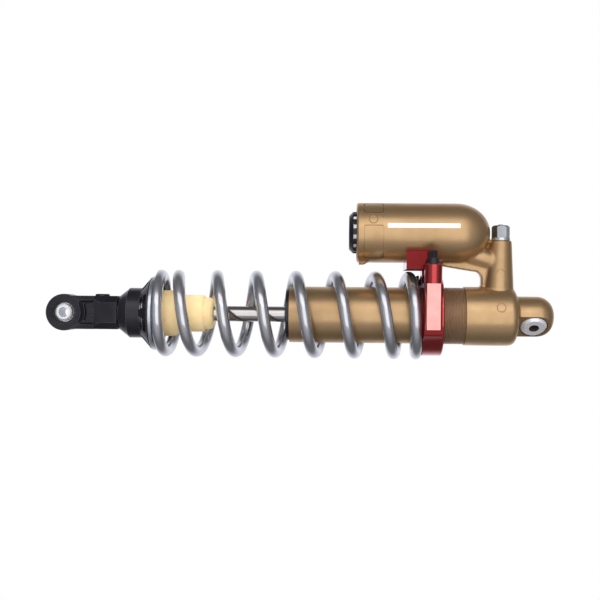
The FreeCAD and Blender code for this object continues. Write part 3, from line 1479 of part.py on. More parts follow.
def build_saddle():
    """The block that straddles the reservoir's underside and keeps the adjuster from turning."""
    body = new_body("anti_rotation_block")
    left = "spring_high - saddle_overhang"
    # It stays just behind the worm's boss, and as wide on the other side
    wide = "(worm_out - boss_radius - 0.5)"
    section = new_sketch(body, "YZ_Plane", ("0", "0", left))
    draw(section, [
        (f"-{wide}", "saddle_foot"),
        (wide, "saddle_foot"),
        (wide, "saddle_top"),
        (f"-{wide}", "saddle_top"),
    ])
    pad(body, section, f"tower_right - ({left})")
    hollow = new_sketch(body, "YZ_Plane", ("0", "0", f"{left} - 1"))
    draw_circle(hollow, "0", "reservoir_height", "reservoir_radius + saddle_clearance")
    cut(body, hollow, back=True)
    for side in ("-", ""):
        hole = new_sketch(body, "XY_Plane", ("0", "0", "saddle_foot - 1"))
        draw_circle(hole, "block_screw_along", f"{side}block_screw_across", "block_screw_radius")
        cut(body, hole, back=True)
        sink = new_sketch(body, "XY_Plane", ("0", "0", "saddle_foot + block_screw_grip"))
        draw_circle(sink, "block_screw_along", f"{side}block_screw_across", "block_screw_head")
        cut(body, sink, back=True)
    finish(body, "anti_rotation_block")
    screw = socket_screw("block_screw", value("block_screw_bite + block_screw_grip"))
    places = []
    for side in (-1, 1):
        spot = FreeCAD.Vector(
            value("block_screw_along"), side * value("block_screw_across"),
            value("saddle_foot - block_screw_bite")
        )
        places.append(FreeCAD.Placement(spot, FreeCAD.Rotation()))
    set_of("block_screws", screw, places)


def build_preload_gear():
    """The nut on the damper's thread, with slanted teeth round it for the worm to drive."""
    face = value("gear_face")
    left = value("gear_left")
    module = value("gear_module")
    teeth = COUNTS["gear_teeth"]
    pitch_radius = value("gear_pitch_radius")
    tip = value("gear_tip")
    root = value("gear_root")
    lean = COUNTS["worm_starts"] * module / (2 * value("worm_pitch_radius"))
    pitch = math.pi * module
    flank = math.tan(math.radians(20))
    blank = Part.makeCylinder(tip, face, FreeCAD.Vector(left, 0, 0), FreeCAD.Vector(1, 0, 0))
    # A tooth space is wider than a tooth, which leaves the play that lets the worm turn freely
    half_space = pitch * 0.28
    corners = []
    for side, radius in ((-1, tip + 1), (-1, root), (1, root), (1, tip + 1)):
        half = half_space + (radius - pitch_radius) * flank
        corners.append(FreeCAD.Vector(left - 1, -radius, side * half))
    corners.append(corners[0])
    run = FreeCAD.Vector(face + 2, 0, -lean * (face + 2))
    space = Part.Face(Part.makePolygon(corners)).extrude(run)
    space.translate(FreeCAD.Vector(0, 0, lean * (face + 2) / 2))
    spaces = []
    for index in range(teeth):
        copy = space.copy()
        copy.rotate(FreeCAD.Vector(), FreeCAD.Vector(1, 0, 0), 360 * index / teeth)
        spaces.append(copy)
    hub_end = value("ring_right") - 0.3
    hub = Part.makeCylinder(
        root, hub_end - left, FreeCAD.Vector(left, 0, 0), FreeCAD.Vector(1, 0, 0)
    )
    bore = Part.makeCylinder(
        value("thread_radius + running_gap"), hub_end - left + 2,
        FreeCAD.Vector(left - 1, 0, 0), FreeCAD.Vector(1, 0, 0)
    )
    nut = doc.addObject("Part::Feature", "preload_nut")
    nut.Shape = blank.cut(spaces).fuse(hub).cut(bore).removeSplitter()
    finish(nut, "preload_nut")


def build_worm():
    module = value("gear_module")
    starts = COUNTS["worm_starts"]
    pitch = math.pi * module
    lead = pitch * starts
    tip = value("worm_tip")
    root = value("worm_root") - 0.6
    pitch_radius = value("worm_pitch_radius")
    length = value("worm_length") - 1
    flank = math.tan(math.radians(20))
    half_tooth = pitch * 0.2
    steps_per_turn = 18

    def section(angle, start):
        """The thread's section in a plane through the worm's own axis."""
        height = lead * angle / (2 * math.pi)
        out = FreeCAD.Vector(-math.sin(angle + start), math.cos(angle + start), 0)
        corners = []
        for side, radius in ((-1, root), (-1, tip), (1, tip), (1, root)):
            half = half_tooth - (radius - pitch_radius) * flank
            corners.append(out * radius + FreeCAD.Vector(0, 0, height + side * half))
        return Part.makePolygon(corners + corners[:1])

    reach = (length - pitch) / 2
    steps = int(reach / lead * steps_per_turn)
    threads = []
    for start in range(starts):
        begin = 2 * math.pi * start / starts
        wires = [
            section(2 * math.pi * index / steps_per_turn, begin)
            for index in range(-steps, steps + 1)
        ]
        threads.append(Part.makeLoft(wires, True, True))
    low = -value("worm_length") / 2
    boss = value("boss_height")
    core = Part.makeCylinder(value("worm_root"), -2 * low, FreeCAD.Vector(0, 0, low))
    tail_length = value("worm_tail_length")
    tail = Part.makeCylinder(
        value("worm_tail"), tail_length + 1, FreeCAD.Vector(0, 0, low - tail_length)
    )
    shaft = Part.makeCylinder(value("worm_shaft"), boss + low + 0.3, FreeCAD.Vector(0, 0, -low))
    flange_height = value("worm_flange_height")
    flange = Part.makeCone(
        value("worm_flange"), value("worm_hex") + 1.2, flange_height,
        FreeCAD.Vector(0, 0, boss + 0.3)
    )
    corner = value("worm_hex") / math.cos(math.radians(30))
    points = []
    for index in range(7):
        angle = math.radians(60 * index + 30)
        points.append(FreeCAD.Vector(
            corner * math.cos(angle), corner * math.sin(angle), boss + 0.3 + flange_height
        ))
    hexagon = Part.Face(Part.makePolygon(points))
    key = hexagon.extrude(FreeCAD.Vector(0, 0, value("worm_hex_height")))
    solid = core.fuse(threads + [tail, shaft, flange, key]).removeSplitter()
    worm = doc.addObject("Part::Feature", "preload_worm")
    worm.Shape = solid
    worm.setExpression("Placement.Base.x", bound("worm_place"))
    worm.setExpression("Placement.Base.y", bound("-worm_out"))
    finish(worm, "preload_worm")


def check_and_write():
    doc.recompute()
    for item in doc.Objects:
        if any(word in item.State for word in ("Invalid", "Error")):
            raise RuntimeError(f"{item.Name} did not come out: {item.State}")
    os.makedirs("parts", exist_ok=True)
    for piece in nodes:
        shape = piece.Shape
        if shape.isNull() or not shape.isValid() or not shape.Solids:
            raise RuntimeError(f"{piece.Label} has no sound shape")
        shape.exportStep(f"parts/{piece.Label}.step")
    print(f"{len(nodes)} nodes, {sum(len(piece.Shape.Solids) for piece in nodes)} solids")


def main():
    fill_sheet()
    build_tube()
    build_casting()
    build_seal_head()
    build_reservoir_end()
    build_valve()
    build_bearing("upper", "0", "bolt_tilt")
    build_bearing("lower", "lower_eye", "0")
    build_clevis()
    build_rebound_adjuster()
    build_rod()
    build_lower_seat()
    build_spring()
    build_preload_housing()
    build_preload_trim()
    build_saddle()
    build_preload_gear()
    build_worm()
    check_and_write()


main()
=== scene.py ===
# %% [markdown]
# # A motorcycle shock absorber
# This shock stands between a rear wheel and its frame. A steel coil spring carries the load, and
# a damper inside it, with an oil reservoir lying on top, slows the movement. The solids come from
# a CAD model. Here they get their finishes, their rounded edges and the forms that CAD left plain.
#
# The shock lies along X with its upper eye at the origin. Lengths on it are written in
# millimetres, and MM turns them into Blender's metres.

# %% Load the frame
import json
import math

import bmesh
import bpy
from mathutils import Matrix, Quaternion, Vector

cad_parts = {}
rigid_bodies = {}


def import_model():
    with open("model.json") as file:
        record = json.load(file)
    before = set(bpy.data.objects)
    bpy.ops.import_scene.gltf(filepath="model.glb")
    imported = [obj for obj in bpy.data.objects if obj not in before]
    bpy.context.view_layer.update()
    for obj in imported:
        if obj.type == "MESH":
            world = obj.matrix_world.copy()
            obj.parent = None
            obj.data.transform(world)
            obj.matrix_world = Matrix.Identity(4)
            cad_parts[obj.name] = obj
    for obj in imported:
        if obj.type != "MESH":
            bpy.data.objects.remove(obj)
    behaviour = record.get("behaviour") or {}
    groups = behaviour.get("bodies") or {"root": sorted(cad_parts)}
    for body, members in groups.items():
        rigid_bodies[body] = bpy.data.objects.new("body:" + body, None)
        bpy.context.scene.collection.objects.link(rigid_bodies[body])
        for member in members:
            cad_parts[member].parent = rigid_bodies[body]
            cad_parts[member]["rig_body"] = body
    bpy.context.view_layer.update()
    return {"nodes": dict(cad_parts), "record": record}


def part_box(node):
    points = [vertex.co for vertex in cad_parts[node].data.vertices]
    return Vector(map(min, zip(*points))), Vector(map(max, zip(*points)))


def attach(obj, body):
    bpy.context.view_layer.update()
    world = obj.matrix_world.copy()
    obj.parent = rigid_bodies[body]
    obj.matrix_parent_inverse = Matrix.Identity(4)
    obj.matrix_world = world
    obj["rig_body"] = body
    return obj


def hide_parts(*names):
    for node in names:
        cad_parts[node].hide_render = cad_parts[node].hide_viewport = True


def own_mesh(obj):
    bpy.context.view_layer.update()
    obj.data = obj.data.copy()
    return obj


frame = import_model()
nodes = frame["nodes"]
scene = bpy.context.scene
MM = 0.001
print(len(nodes), "solids loaded")

# %% [markdown]
# ## Camera
# The photograph looks straight at the shock's side from about a metre away. It was taken from a
# little right of the middle, so the camera stands there and turns slightly to the left. A lens is
# given by its focal length, which follows from the distance and from how wide the frame is there.

# %% Place the camera
CAMERA_DISTANCE = 1000
FRAME_WIDTH = 618
CAMERA_PLACE = (-196, -CAMERA_DISTANCE, 14.8)
CAMERA_AIM = (-237.1, 0, 14.8)
CAMERA_ROLL = math.radians(0.55)
camera_data = bpy.data.cameras.new("camera")
camera_data.lens = camera_data.sensor_width * CAMERA_DISTANCE / FRAME_WIDTH
camera = bpy.data.objects.new("camera", camera_data)
scene.collection.objects.link(camera)
camera.location = Vector(CAMERA_PLACE) * MM
aim = Vector(CAMERA_AIM) * MM - camera.location
camera.rotation_mode = "QUATERNION"
camera.rotation_quaternion = aim.to_track_quat("-Z", "Y") @ Quaternion((0, 0, 1), CAMERA_ROLL)
scene.camera = camera
print("lens", round(camera_data.lens, 1), "mm")

# %% [markdown]
# ## Lamps
# One large soft box near the camera gives every round part a broad highlight, and a narrow one
# overhead draws a sharper line above it. An area lamp does this better than a point or a sun,
# because polished metal shows the lamp's own shape. Sizes and places of lamps are in metres.

# %% Hang two soft boxes
MIDDLE = Vector((-0.24, 0, 0.03))


def soft_box(name, place, width, height, watts):
    """A rectangular lamp that looks at the middle of the shock."""
    light = bpy.data.lights.new(name, "AREA")
    light.shape = "RECTANGLE"
    light.size = width
    light.size_y = height
    light.energy = watts
    lamp = bpy.data.objects.new(name, light)
    scene.collection.objects.link(lamp)
    lamp.location = place
    lamp.rotation_mode = "QUATERNION"
    lamp.rotation_quaternion = (MIDDLE - Vector(place)).to_track_quat("-Z", "Y")
    print(name, watts, "W")


soft_box("key_box", (-0.20, -1.15, 1.00), width=2.0, height=0.75, watts=5)
soft_box("front_box", (0.15, -2.2, 0.05), width=2.3, height=2.5, watts=17)

# %% [markdown]
# ## Node trees
# A world or a finish is a tree of nodes. Most of what builds one only puts numbers into sockets or
# links them to other nodes, so one helper does both and takes a whole node at a time.


# %% Connect a node
def connect(tree, node, inputs):
    """Sets a node's sockets to numbers or colours, or links them to what other nodes give."""
    for socket, value in inputs.items():
        if isinstance(value, bpy.types.NodeSocket):
            tree.links.new(value, node.inputs[socket])
        elif isinstance(value, tuple):
            node.inputs[socket].default_value = (*value, 1)
        else:
            node.inputs[socket].default_value = value
    return node


def calculated(tree, operation, first, second):
    """The sum, the product or the larger one of two levels."""
    step = tree.nodes.new("ShaderNodeMath")
    step.operation = operation
    return connect(tree, step, {0: first, 1: second}).outputs[0]


def either(tree, choice, first, second):
    """The first shader where a choice is 0, and the second where it is 1."""
    mix = tree.nodes.new("ShaderNodeMixShader")
    return connect(tree, mix, {"Fac": choice, 1: first, 2: second}).outputs[0]


print("helpers for node trees ready")

# %% [markdown]
# ## Room
# Shiny metal shows its surroundings, so they matter as much as the lamps. Behind the shock all is
# white, and in front of it the room is dim, which gives the round parts their dark sides and pale
# rims. The Light Path node tells what kind of ray asks, so the camera can see plain white while
# reflections see a shaped room and all other light comes evenly from everywhere.

# %% Light the room
EVEN_LIGHT = 1.4
DIMMEST = 0.12
NEAR_GLOW = 0.45
FAR_GLOW = 0.88


def glow(tree, direction, start, full, strength):
    """A level that rises from nothing between two values of a direction's Y."""
    ramp = tree.nodes.new("ShaderNodeMapRange")
    ramp.interpolation_type = "SMOOTHSTEP"
    connect(tree, ramp, {"Value": direction, "From Min": start, "From Max": full,
                         "To Max": strength})
    return ramp.outputs["Result"]


def background(tree, colour, strength):
    """Light of one colour from all round."""
    light = tree.nodes.new("ShaderNodeBackground")
    return connect(tree, light, {"Color": colour, "Strength": strength}).outputs[0]


def light_the_room(tree):
    """White to the camera, a shaped room in reflections and an even level for all other light."""
    place = tree.nodes.new("ShaderNodeTexCoord").outputs["Generated"]
    across = connect(tree, tree.nodes.new("ShaderNodeSeparateXYZ"), {0: place}).outputs["Y"]
    rays = tree.nodes.new("ShaderNodeLightPath").outputs
    seen = calculated(tree, "MAXIMUM", rays["Is Camera Ray"], rays["Is Transmission Ray"])
    near = glow(tree, across, 0.0, -0.95, NEAR_GLOW)
    far = glow(tree, across, 0.35, 0.95, FAR_GLOW)
    level = calculated(tree, "ADD", calculated(tree, "ADD", near, far), DIMMEST)
    lit = either(tree, rays["Is Glossy Ray"], background(tree, (1, 1, 1), EVEN_LIGHT),
                 background(tree, (0.90, 0.91, 1), level))
    room = either(tree, seen, lit, background(tree, (1, 1, 1), 1))
    connect(tree, tree.nodes.new("ShaderNodeOutputWorld"), {"Surface": room})


world = bpy.data.worlds.new("studio")
world.use_nodes = True
world.node_tree.nodes.clear()
light_the_room(world.node_tree)
scene.world = world
scene.view_settings.view_transform = "Standard"
print(len(world.node_tree.nodes), "nodes light the room")

# %% [markdown]
# ## Floor
# The shock hangs free in front of white, so the floor lies far below it. To the camera it is as
# white as the room, and for light it is a dark, dull sheet, so that little comes up from below.

# %% Lay the floor
FLOOR_LEVEL = -1.3
FLOOR_REACH = 6
floor_shape = bmesh.new()
bmesh.ops.create_grid(floor_shape, x_segments=1, y_segments=1, size=FLOOR_REACH,
                      matrix=Matrix.Translation((0, 0, FLOOR_LEVEL)))
floor_data = bpy.data.meshes.new("floor")
floor_shape.to_mesh(floor_data)
floor_shape.free()
floor = bpy.data.objects.new("floor", floor_data)
scene.collection.objects.link(floor)
floor.visible_shadow = False
floor.visible_glossy = False
floor_paint = bpy.data.materials.new("floor")
floor_paint.use_nodes = True
floor_tree = floor_paint.node_tree
dull = connect(floor_tree, floor_tree.nodes["Principled BSDF"],
               {"Base Color": (0.22, 0.22, 0.23), "Roughness": 1})
camera_ray = floor_tree.nodes.new("ShaderNodeLightPath").outputs["Is Camera Ray"]
white = floor_tree.nodes.new("ShaderNodeEmission").outputs[0]
connect(floor_tree, floor_tree.nodes["Material Output"],
        {"Surface": either(floor_tree, camera_ray, dull.outputs[0], white)})
floor_data.materials.append(floor_paint)
print("floor", FLOOR_LEVEL, "m down")

# %% [markdown]
# ## Finishes
# Every finish starts from the same few steps: a fine grain for the surface, slow patches that make
# the colour a little uneven, and a lighter tone on edges, which stands for wear and is also a
# painted highlight along them. The numbers are what differs between bead-blasted bronze, satin
# black, polished chrome and foam. Photographs of surfaces could be laid on instead, but a noise has
# no seams, and it can be given its true scale in millimetres.

# %% A finish
COAT_ROUGHNESS = 0.12
GRAIN_DEPTH = 0.05
CLOUD_LOW = 0.3
CLOUD_HIGH = 0.7
EDGE_BEGINS = 0.995
EDGE_FULL = 0.93
MOST_EDGE_WEAR_AND_SHEEN = 0.7
LEAST_EDGE_WEAR_AND_SHEEN = 0.35


def finish(name, colour, patches, metallic, roughness, grain=0.4, grain_size=0.6, patch_size=18,
           coat=0, edge_wear_and_sheen=None, edge_wear_and_sheen_width=0.35, spread=0.06, shine=0.5):
    """A procedural finish: sizes in millimetres, colours as the surface shows them."""
    material = bpy.data.materials.new(name)
    material.use_nodes = True
    tree = material.node_tree
    place = tree.nodes.new("ShaderNodeTexCoord").outputs["Object"]

    def cloud(size, detail):
        """A noise whose lumps are about as large as the size."""
        noise = tree.nodes.new("ShaderNodeTexNoise")
        connect(tree, noise, {"Vector": place, "Scale": 1 / (size * MM), "Detail": detail})
        return noise.outputs["Fac"]

    def ranged(value, start, full, low, high):
        """A value that runs from low to high between a start and where it is full."""
        ramp = tree.nodes.new("ShaderNodeMapRange")
        connect(tree, ramp, {"Value": value, "From Min": start, "From Max": full,
                             "To Min": low, "To Max": high})
        return ramp.outputs["Result"]

    def spread_out(value, low, high):
        """A cloud's middle values, spread out between two levels."""
        return ranged(value, CLOUD_LOW, CLOUD_HIGH, low, high)

    def mixed(factor, first, second):
        """One colour where a factor is 0, and another where it is 1."""
        mix = tree.nodes.new("ShaderNodeMix")
        mix.data_type = "RGBA"
        return connect(tree, mix, {"Factor": factor, "A": first, "B": second}).outputs["Result"]

    slow = cloud(patch_size, 4)
    tone = mixed(spread_out(slow, 0, 1), colour, patches)
    # Paler edges: wear, and a painted highlight along every edge.
    if edge_wear_and_sheen:
        edge = tree.nodes.new("ShaderNodeBevel")
        edge.samples = 4
        connect(tree, edge, {"Radius": edge_wear_and_sheen_width * MM})
        plain = tree.nodes.new("ShaderNodeNewGeometry").outputs["Normal"]
        turn = tree.nodes.new("ShaderNodeVectorMath")
        turn.operation = "DOT_PRODUCT"
        connect(tree, turn, {0: edge.outputs[0], 1: plain})
        edge_wear_and_sheen_level = ranged(turn.outputs["Value"], EDGE_BEGINS, EDGE_FULL, 0, MOST_EDGE_WEAR_AND_SHEEN)
        patchy_edge_wear_and_sheen = calculated(tree, "MULTIPLY", edge_wear_and_sheen_level, spread_out(slow, LEAST_EDGE_WEAR_AND_SHEEN, 1))
        tone = mixed(patchy_edge_wear_and_sheen, tone, edge_wear_and_sheen)
    bump = tree.nodes.new("ShaderNodeBump")
    connect(tree, bump, {"Strength": grain, "Distance": GRAIN_DEPTH * MM,
                         "Height": cloud(grain_size, 3)})
    uneven = spread_out(slow, max(roughness - spread, 0.02), roughness + spread)
    connect(tree, tree.nodes["Principled BSDF"], {
        "Base Color": tone, "Metallic": metallic, "Roughness": uneven, "Normal": bump.outputs[0],
        "Coat Weight": coat, "Coat Roughness": COAT_ROUGHNESS, "Specular IOR Level": shine})
    return material


print("finish ready")

# %% [markdown]
# ## Anodised aluminium
# Most of the shock is aluminium. The casting and the tube are a matt bronze, the clevis, the seat
# and the end cap a satin black, and the preload parts a glossy red like tinted lacquer over bare
# metal. Anodising is thin and wears first at the edges, which then show paler metal. The paler
# edges are also a painted highlight along every edge.

# %% Mix the anodised finishes
finishes = {
    "bronze_anodised": finish(
        "bronze", (0.51, 0.335, 0.174), (0.445, 0.285, 0.142), metallic=0.9, roughness=0.33,
        grain=0.5, grain_size=0.5, patch_size=22, edge_wear_and_sheen=(0.72, 0.52, 0.33)),
    "thread_brown": finish(
        "thread_brown", (0.40, 0.265, 0.165), (0.34, 0.225, 0.135), metallic=0.8, roughness=0.40,
        grain=0.4, grain_size=0.4, patch_size=9),
    "black_anodised": finish(
        "black_satin", (0.006, 0.005, 0.008), (0.010, 0.009, 0.013), metallic=0, roughness=0.24,
        grain=0.3, grain_size=0.4, patch_size=20, edge_wear_and_sheen=(0.16, 0.16, 0.18), edge_wear_and_sheen_width=0.45,
        shine=0.4),
    "red_anodised": finish(
        "red_gloss", (0.48, 0.025, 0.026), (0.42, 0.018, 0.019), metallic=0.95, roughness=0.15,
        grain=0.08, grain_size=0.6, patch_size=14, coat=1.0, edge_wear_and_sheen=(0.90, 0.35, 0.30), spread=0.03),
    # Copies of the red for painted light and shade: a darker red as painted shade, a pale red as a
    # painted highlight, and a near-black red as painted shade on an underside.
    "painted_shade_red": finish(
        "painted_shade_red", (0.17, 0.008, 0.009), (0.14, 0.006, 0.007), metallic=0.8, roughness=0.22,
        grain=0.08, grain_size=0.6, patch_size=14),
    "painted_highlight_red": finish(
        "painted_highlight_red", (0.80, 0.40, 0.36), (0.76, 0.34, 0.31), metallic=0.6, roughness=0.35,
        grain=0.15, grain_size=0.5, patch_size=12),
    "shaded_red": finish(
        "shaded_red", (0.05, 0.003, 0.003), (0.04, 0.003, 0.003), metallic=0, roughness=0.7,
        grain=0.2, grain_size=0.5, patch_size=12, shine=0.1),
    "silver_anodised": finish(
        "silver_satin", (0.66, 0.68, 0.70), (0.56, 0.58, 0.61), metallic=0.95, roughness=0.25,
        grain=0.2, grain_size=0.5, patch_size=12, edge_wear_and_sheen=(0.85, 0.86, 0.88)),
    # A darker silver: the adjuster hexagon's colour, and painted shade on the lower bolt hole's
    # walls.
    "dark_silver_and_bore_shade": finish(
        "dark_silver_and_bore_shade", (0.34, 0.35, 0.36), (0.27, 0.28, 0.29), metallic=0.95, roughness=0.2,
        grain=0.2, grain_size=0.5, patch_size=9, edge_wear_and_sheen=(0.8, 0.81, 0.82)),
}
print(len(finishes), "anodised finishes")

# %% [markdown]
# ## Steel
# The rod is hard chromed and ground almost to a mirror, and the spring has a smooth silver paint.
# The bearings' rings, balls and sleeves are bare, blacked or plated steel, with a finer grain.

# %% Mix the steel finishes
finishes |= {
    "plain_steel": finish(
        "machined_steel", (0.72, 0.73, 0.74), (0.62, 0.63, 0.65), metallic=0.9, roughness=0.26,
        grain=0.25, grain_size=0.3, patch_size=8),
    "ring_steel": finish(
        "ring_steel", (0.42, 0.40, 0.33), (0.34, 0.32, 0.26), metallic=0.9, roughness=0.3,
        grain=0.2, grain_size=0.4, patch_size=6),
    # Dark brown steel: painted shade on the upper bolt hole's walls.
    "shaded_steel": finish(
        "shaded_steel", (0.085, 0.06, 0.045), (0.06, 0.045, 0.035), metallic=0.3, roughness=0.6,
        grain=0.3, grain_size=0.4, patch_size=6, shine=0.3),
    "bright_plating": finish(
        "bright_plating", (0.76, 0.76, 0.80), (0.68, 0.68, 0.71), metallic=0.45, roughness=0.25,
        grain=0.25, grain_size=0.3, patch_size=8),
    "black_steel": finish(
        "black_steel", (0.012, 0.012, 0.014), (0.02, 0.02, 0.022), metallic=0.4, roughness=0.3,
        grain=0.2, grain_size=0.4, patch_size=9, edge_wear_and_sheen=(0.2, 0.2, 0.21), shine=0.4),
    "hard_chrome": finish(
        "hard_chrome", (0.55, 0.52, 0.50), (0.50, 0.47, 0.45), metallic=1.0, roughness=0.09,
        grain=0.03, grain_size=0.8, patch_size=30, spread=0.02),
    "spring_paint": finish(
        "spring_paint", (0.60, 0.60, 0.62), (0.54, 0.54, 0.56), metallic=0.95, roughness=0.2,
        grain=0.08, grain_size=0.7, patch_size=25, coat=0.3, spread=0.04),
}
print(len(finishes), "finishes so far")

# %% [markdown]
# ## Foam, rubber and small fittings
# The bump stop is a cream foam with open pores. Light goes a few millimetres into it, so it gets
# some subsurface scattering, which plain paint could not imitate. The black rubber is for the
# seals, and the bump stop's base gets it too as painted shade. The rest are the pistons' bands,
# bronze bushes, a blue washer and a plain white strip.

# %% Mix the last finishes
FOAM_GLOW = 0.25
FOAM_DEPTH = 4
finishes |= {
    "cream_foam": finish(
        "cream_foam", (1.0, 0.70, 0.33), (1.0, 0.77, 0.43), metallic=0, roughness=0.7,
        grain=0.9, grain_size=0.45, patch_size=9),
    "black_rubber": finish(
        "black_rubber", (0.012, 0.012, 0.012), (0.02, 0.02, 0.02), metallic=0, roughness=0.6,
        grain=0.5, grain_size=0.5, patch_size=6),
    "bearing_band": finish(
        "bearing_band", (0.40, 0.36, 0.27), (0.33, 0.30, 0.22), metallic=0, roughness=0.5,
        grain=0.3, grain_size=0.5, patch_size=6),
    "bush_bronze": finish(
        "bush_bronze", (0.55, 0.36, 0.14), (0.48, 0.31, 0.12), metallic=1.0, roughness=0.3,
        grain=0.2, grain_size=0.4, patch_size=8),
    "blue_washer": finish(
        "blue_washer", (0.04, 0.09, 0.18), (0.025, 0.055, 0.12), metallic=0.4, roughness=0.3,
        grain=0.2, grain_size=0.5, patch_size=8),
    "white_strip": finish(
        "white_strip", (0.86, 0.86, 0.85), (0.80, 0.80, 0.79), metallic=0, roughness=0.35,
        grain=0.1, grain_size=0.5, patch_size=12),
}
foam_tree = finishes["cream_foam"].node_tree
connect(foam_tree, foam_tree.nodes["Principled BSDF"],
        {"Subsurface Weight": FOAM_GLOW, "Subsurface Scale": FOAM_DEPTH * MM})
print(len(finishes), "finishes")

# %% [markdown]
# ## Solids that stay
# Each solid comes with the name of a material slot, and takes the finish of that name. Most need
# no more than this, because they lie inside or are small. A circlip is made of duller steel.

# %% Give the solids their finishes
slot_of = {part["node"]: part["material_slot"] for part in frame["record"]["subparts"]}
for node, slot in slot_of.items():
    nodes[node].data.materials.clear()
    nodes[node].data.materials.append(finishes[slot])
for ring in ("lower_circlips", "upper_circlips"):
    nodes[ring].data.materials[0] = finishes["ring_steel"]
print(len(slot_of), "solids have", len(set(slot_of.values())), "finishes")

# %% [markdown]
# ## Last steps of a piece
# However a piece is made, its last steps are the same. Its edges are set smooth or sharp by their
# angle, it gets a finish, it rides on the body that carries it, and the solid that it stands for
# is hidden.


# %% Settle a piece
def settle(shape, name, body, slot, replaced=(), sharp=32):
    """Turns a bmesh into a finished piece that rides on a body and stands for its solids."""
    limit = math.radians(sharp)
    for edge in shape.edges:
        edge.smooth = len(edge.link_faces) == 2 and edge.calc_face_angle(0) < limit
    for face in shape.faces:
        face.smooth = True
    data = bpy.data.meshes.new(name)
    shape.to_mesh(data)
    shape.free()
    piece = bpy.data.objects.new(name, data)
    scene.collection.objects.link(piece)
    data.materials.append(finishes[slot])
    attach(piece, body)
    if replaced:
        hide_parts(*replaced)
    print(name, len(data.polygons), "faces")
    return piece


def round_edges(piece, width, sharp=30):
    """A live bevel on every edge sharper than an angle in degrees."""
    bevel = piece.modifiers.new("bevel", "BEVEL")
    bevel.limit_method = "ANGLE"
    bevel.angle_limit = math.radians(sharp)
    bevel.width = width * MM
    bevel.segments = 2
    return bevel


print("last steps ready")

# %% [markdown]
# ## Softened solids
# A CAD solid has razor edges, and real metal never does. A copy of the solid, with its loose
# triangles merged and flat areas joined, takes a small bevel that catches the light. Large milled
# parts lose about half a millimetre at each edge, and small turned ones a fifth. Hardened normals
# keep the flat faces flat right up to the bevel.

# %% Soften the solids whose forms are right
SOFT_SHARP = 35
SOFTENED = {
    "lower_clevis": 0.5,
    "preload_housing": 0.45,
    "anti_rotation_block": 0.4,
    "spring_retainer": 0.45,
    "preload_cover": 0.2,
    "rebound_adjuster": 0.25,
    "upper_sleeves": 0.2,
    "lower_sleeves": 0.2,
}


def soften(node, width):
    """A copy of a solid with whole faces and rounded edges."""
    shape = bmesh.new()
    shape.from_mesh(nodes[node].data)
    bmesh.ops.remove_doubles(shape, verts=shape.verts, dist=0.003 * MM)
    bmesh.ops.dissolve_limit(shape, angle_limit=math.radians(0.3), verts=[], edges=shape.edges)
    piece = settle(shape, f"{node}_softened", nodes[node]["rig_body"], slot_of[node], (node,),
                   sharp=SOFT_SHARP)
    round_edges(piece, width, SOFT_SHARP).harden_normals = True
    return piece


softened = {node: soften(node, width) for node, width in SOFTENED.items()}

# %% [markdown]
# ## Faces with a finish of their own
# The red parts get painted light and shade on chosen faces. The flat pad on the housing gets a pale
# red as a painted highlight, the lower part of the housing's near side and the side of the block
# get a darker red as painted shade, and the block's underside gets a near-black red as painted
# shade.
# The faces could be picked by hand, but rules on their direction, size and place still hold after
# the solid has changed.

# %% Refinish the housing and the block
PAD_AREA = 300
HOUSING_FRONT = -40
BELOW_WORM = -10
UNDERSIDE = 0.6


def refinish(piece, name, chosen):
    """Gives the chosen faces of a piece another finish."""
    piece.data.materials.append(finishes[name])
    faces = [face for face in piece.data.polygons if chosen(face)]
    for face in faces:
        face.material_index = len(piece.data.materials) - 1
    print(piece.name, len(faces), "faces in", name)


def on_near_side(face, squarely=0.9):
    """Whether a face looks at the near side of the shock."""
    return face.normal.y < -squarely


housing = softened["preload_housing"]
block = softened["anti_rotation_block"]
# Painted highlight: the large flat faces that look squarely at the near side get a pale red.
refinish(housing, "painted_highlight_red",
         lambda face: on_near_side(face, 0.99) and face.area > PAD_AREA * MM**2)
# Painted shade: a darker red on the housing's lower near-side faces and on the block's near side.
refinish(housing, "painted_shade_red",
         lambda face: on_near_side(face) and face.center.y < HOUSING_FRONT * MM
         and face.center.z < BELOW_WORM * MM)
refinish(block, "painted_shade_red", on_near_side)
# Painted shade: the block's underside gets a near-black red.
refinish(block, "shaded_red", lambda face: face.normal.z < -UNDERSIDE)

# %% [markdown]
# ## Sleeves in the eyes
# A sleeve each side of a ball spaces it in its mount, and the bolt goes through both. They are
# brightly plated outside, while the walls of their bolt holes get a darker finish as painted shade.
# A face belongs to a hole if it is near the bolt's line and looks towards it.

# %% Plate the sleeves
LOWER_EYE = -480
BORE_REACH = 5.3
BOLT_TILT = math.radians(47.5)


def plate_sleeves(sleeves, middle, way, bore):
    """Gives a pair of sleeves a bright plating, and the bolt hole along a way a darker finish as
    painted shade.
    """
    way = Vector(way).normalized()

    def in_bore(face):
        arm = face.center - Vector(middle) * MM
        arm -= arm.dot(way) * way
        return arm.length < BORE_REACH * MM and face.normal.dot(arm) < -0.5 * arm.length

    refinish(sleeves, "bright_plating", lambda face: True)
    refinish(sleeves, bore, in_bore)


# Painted shade in both bolt holes: dark brown steel above, a darker silver below.
plate_sleeves(softened["upper_sleeves"], (0, 0, 0),
              (0, -math.cos(BOLT_TILT), -math.sin(BOLT_TILT)), "shaded_steel")
plate_sleeves(softened["lower_sleeves"], (LOWER_EYE, 0, 0), (0, 1, 0), "dark_silver_and_bore_shade")

# %% [markdown]
# ## Lofts and cuts
# A milled form is made as a mill makes it: a blank first, and then the tools cut out of it. Blank
# and tools are lofts through outlines, and Boolean modifiers do the cutting, with the Manifold
# solver, which is quick and exact on closed forms like these.


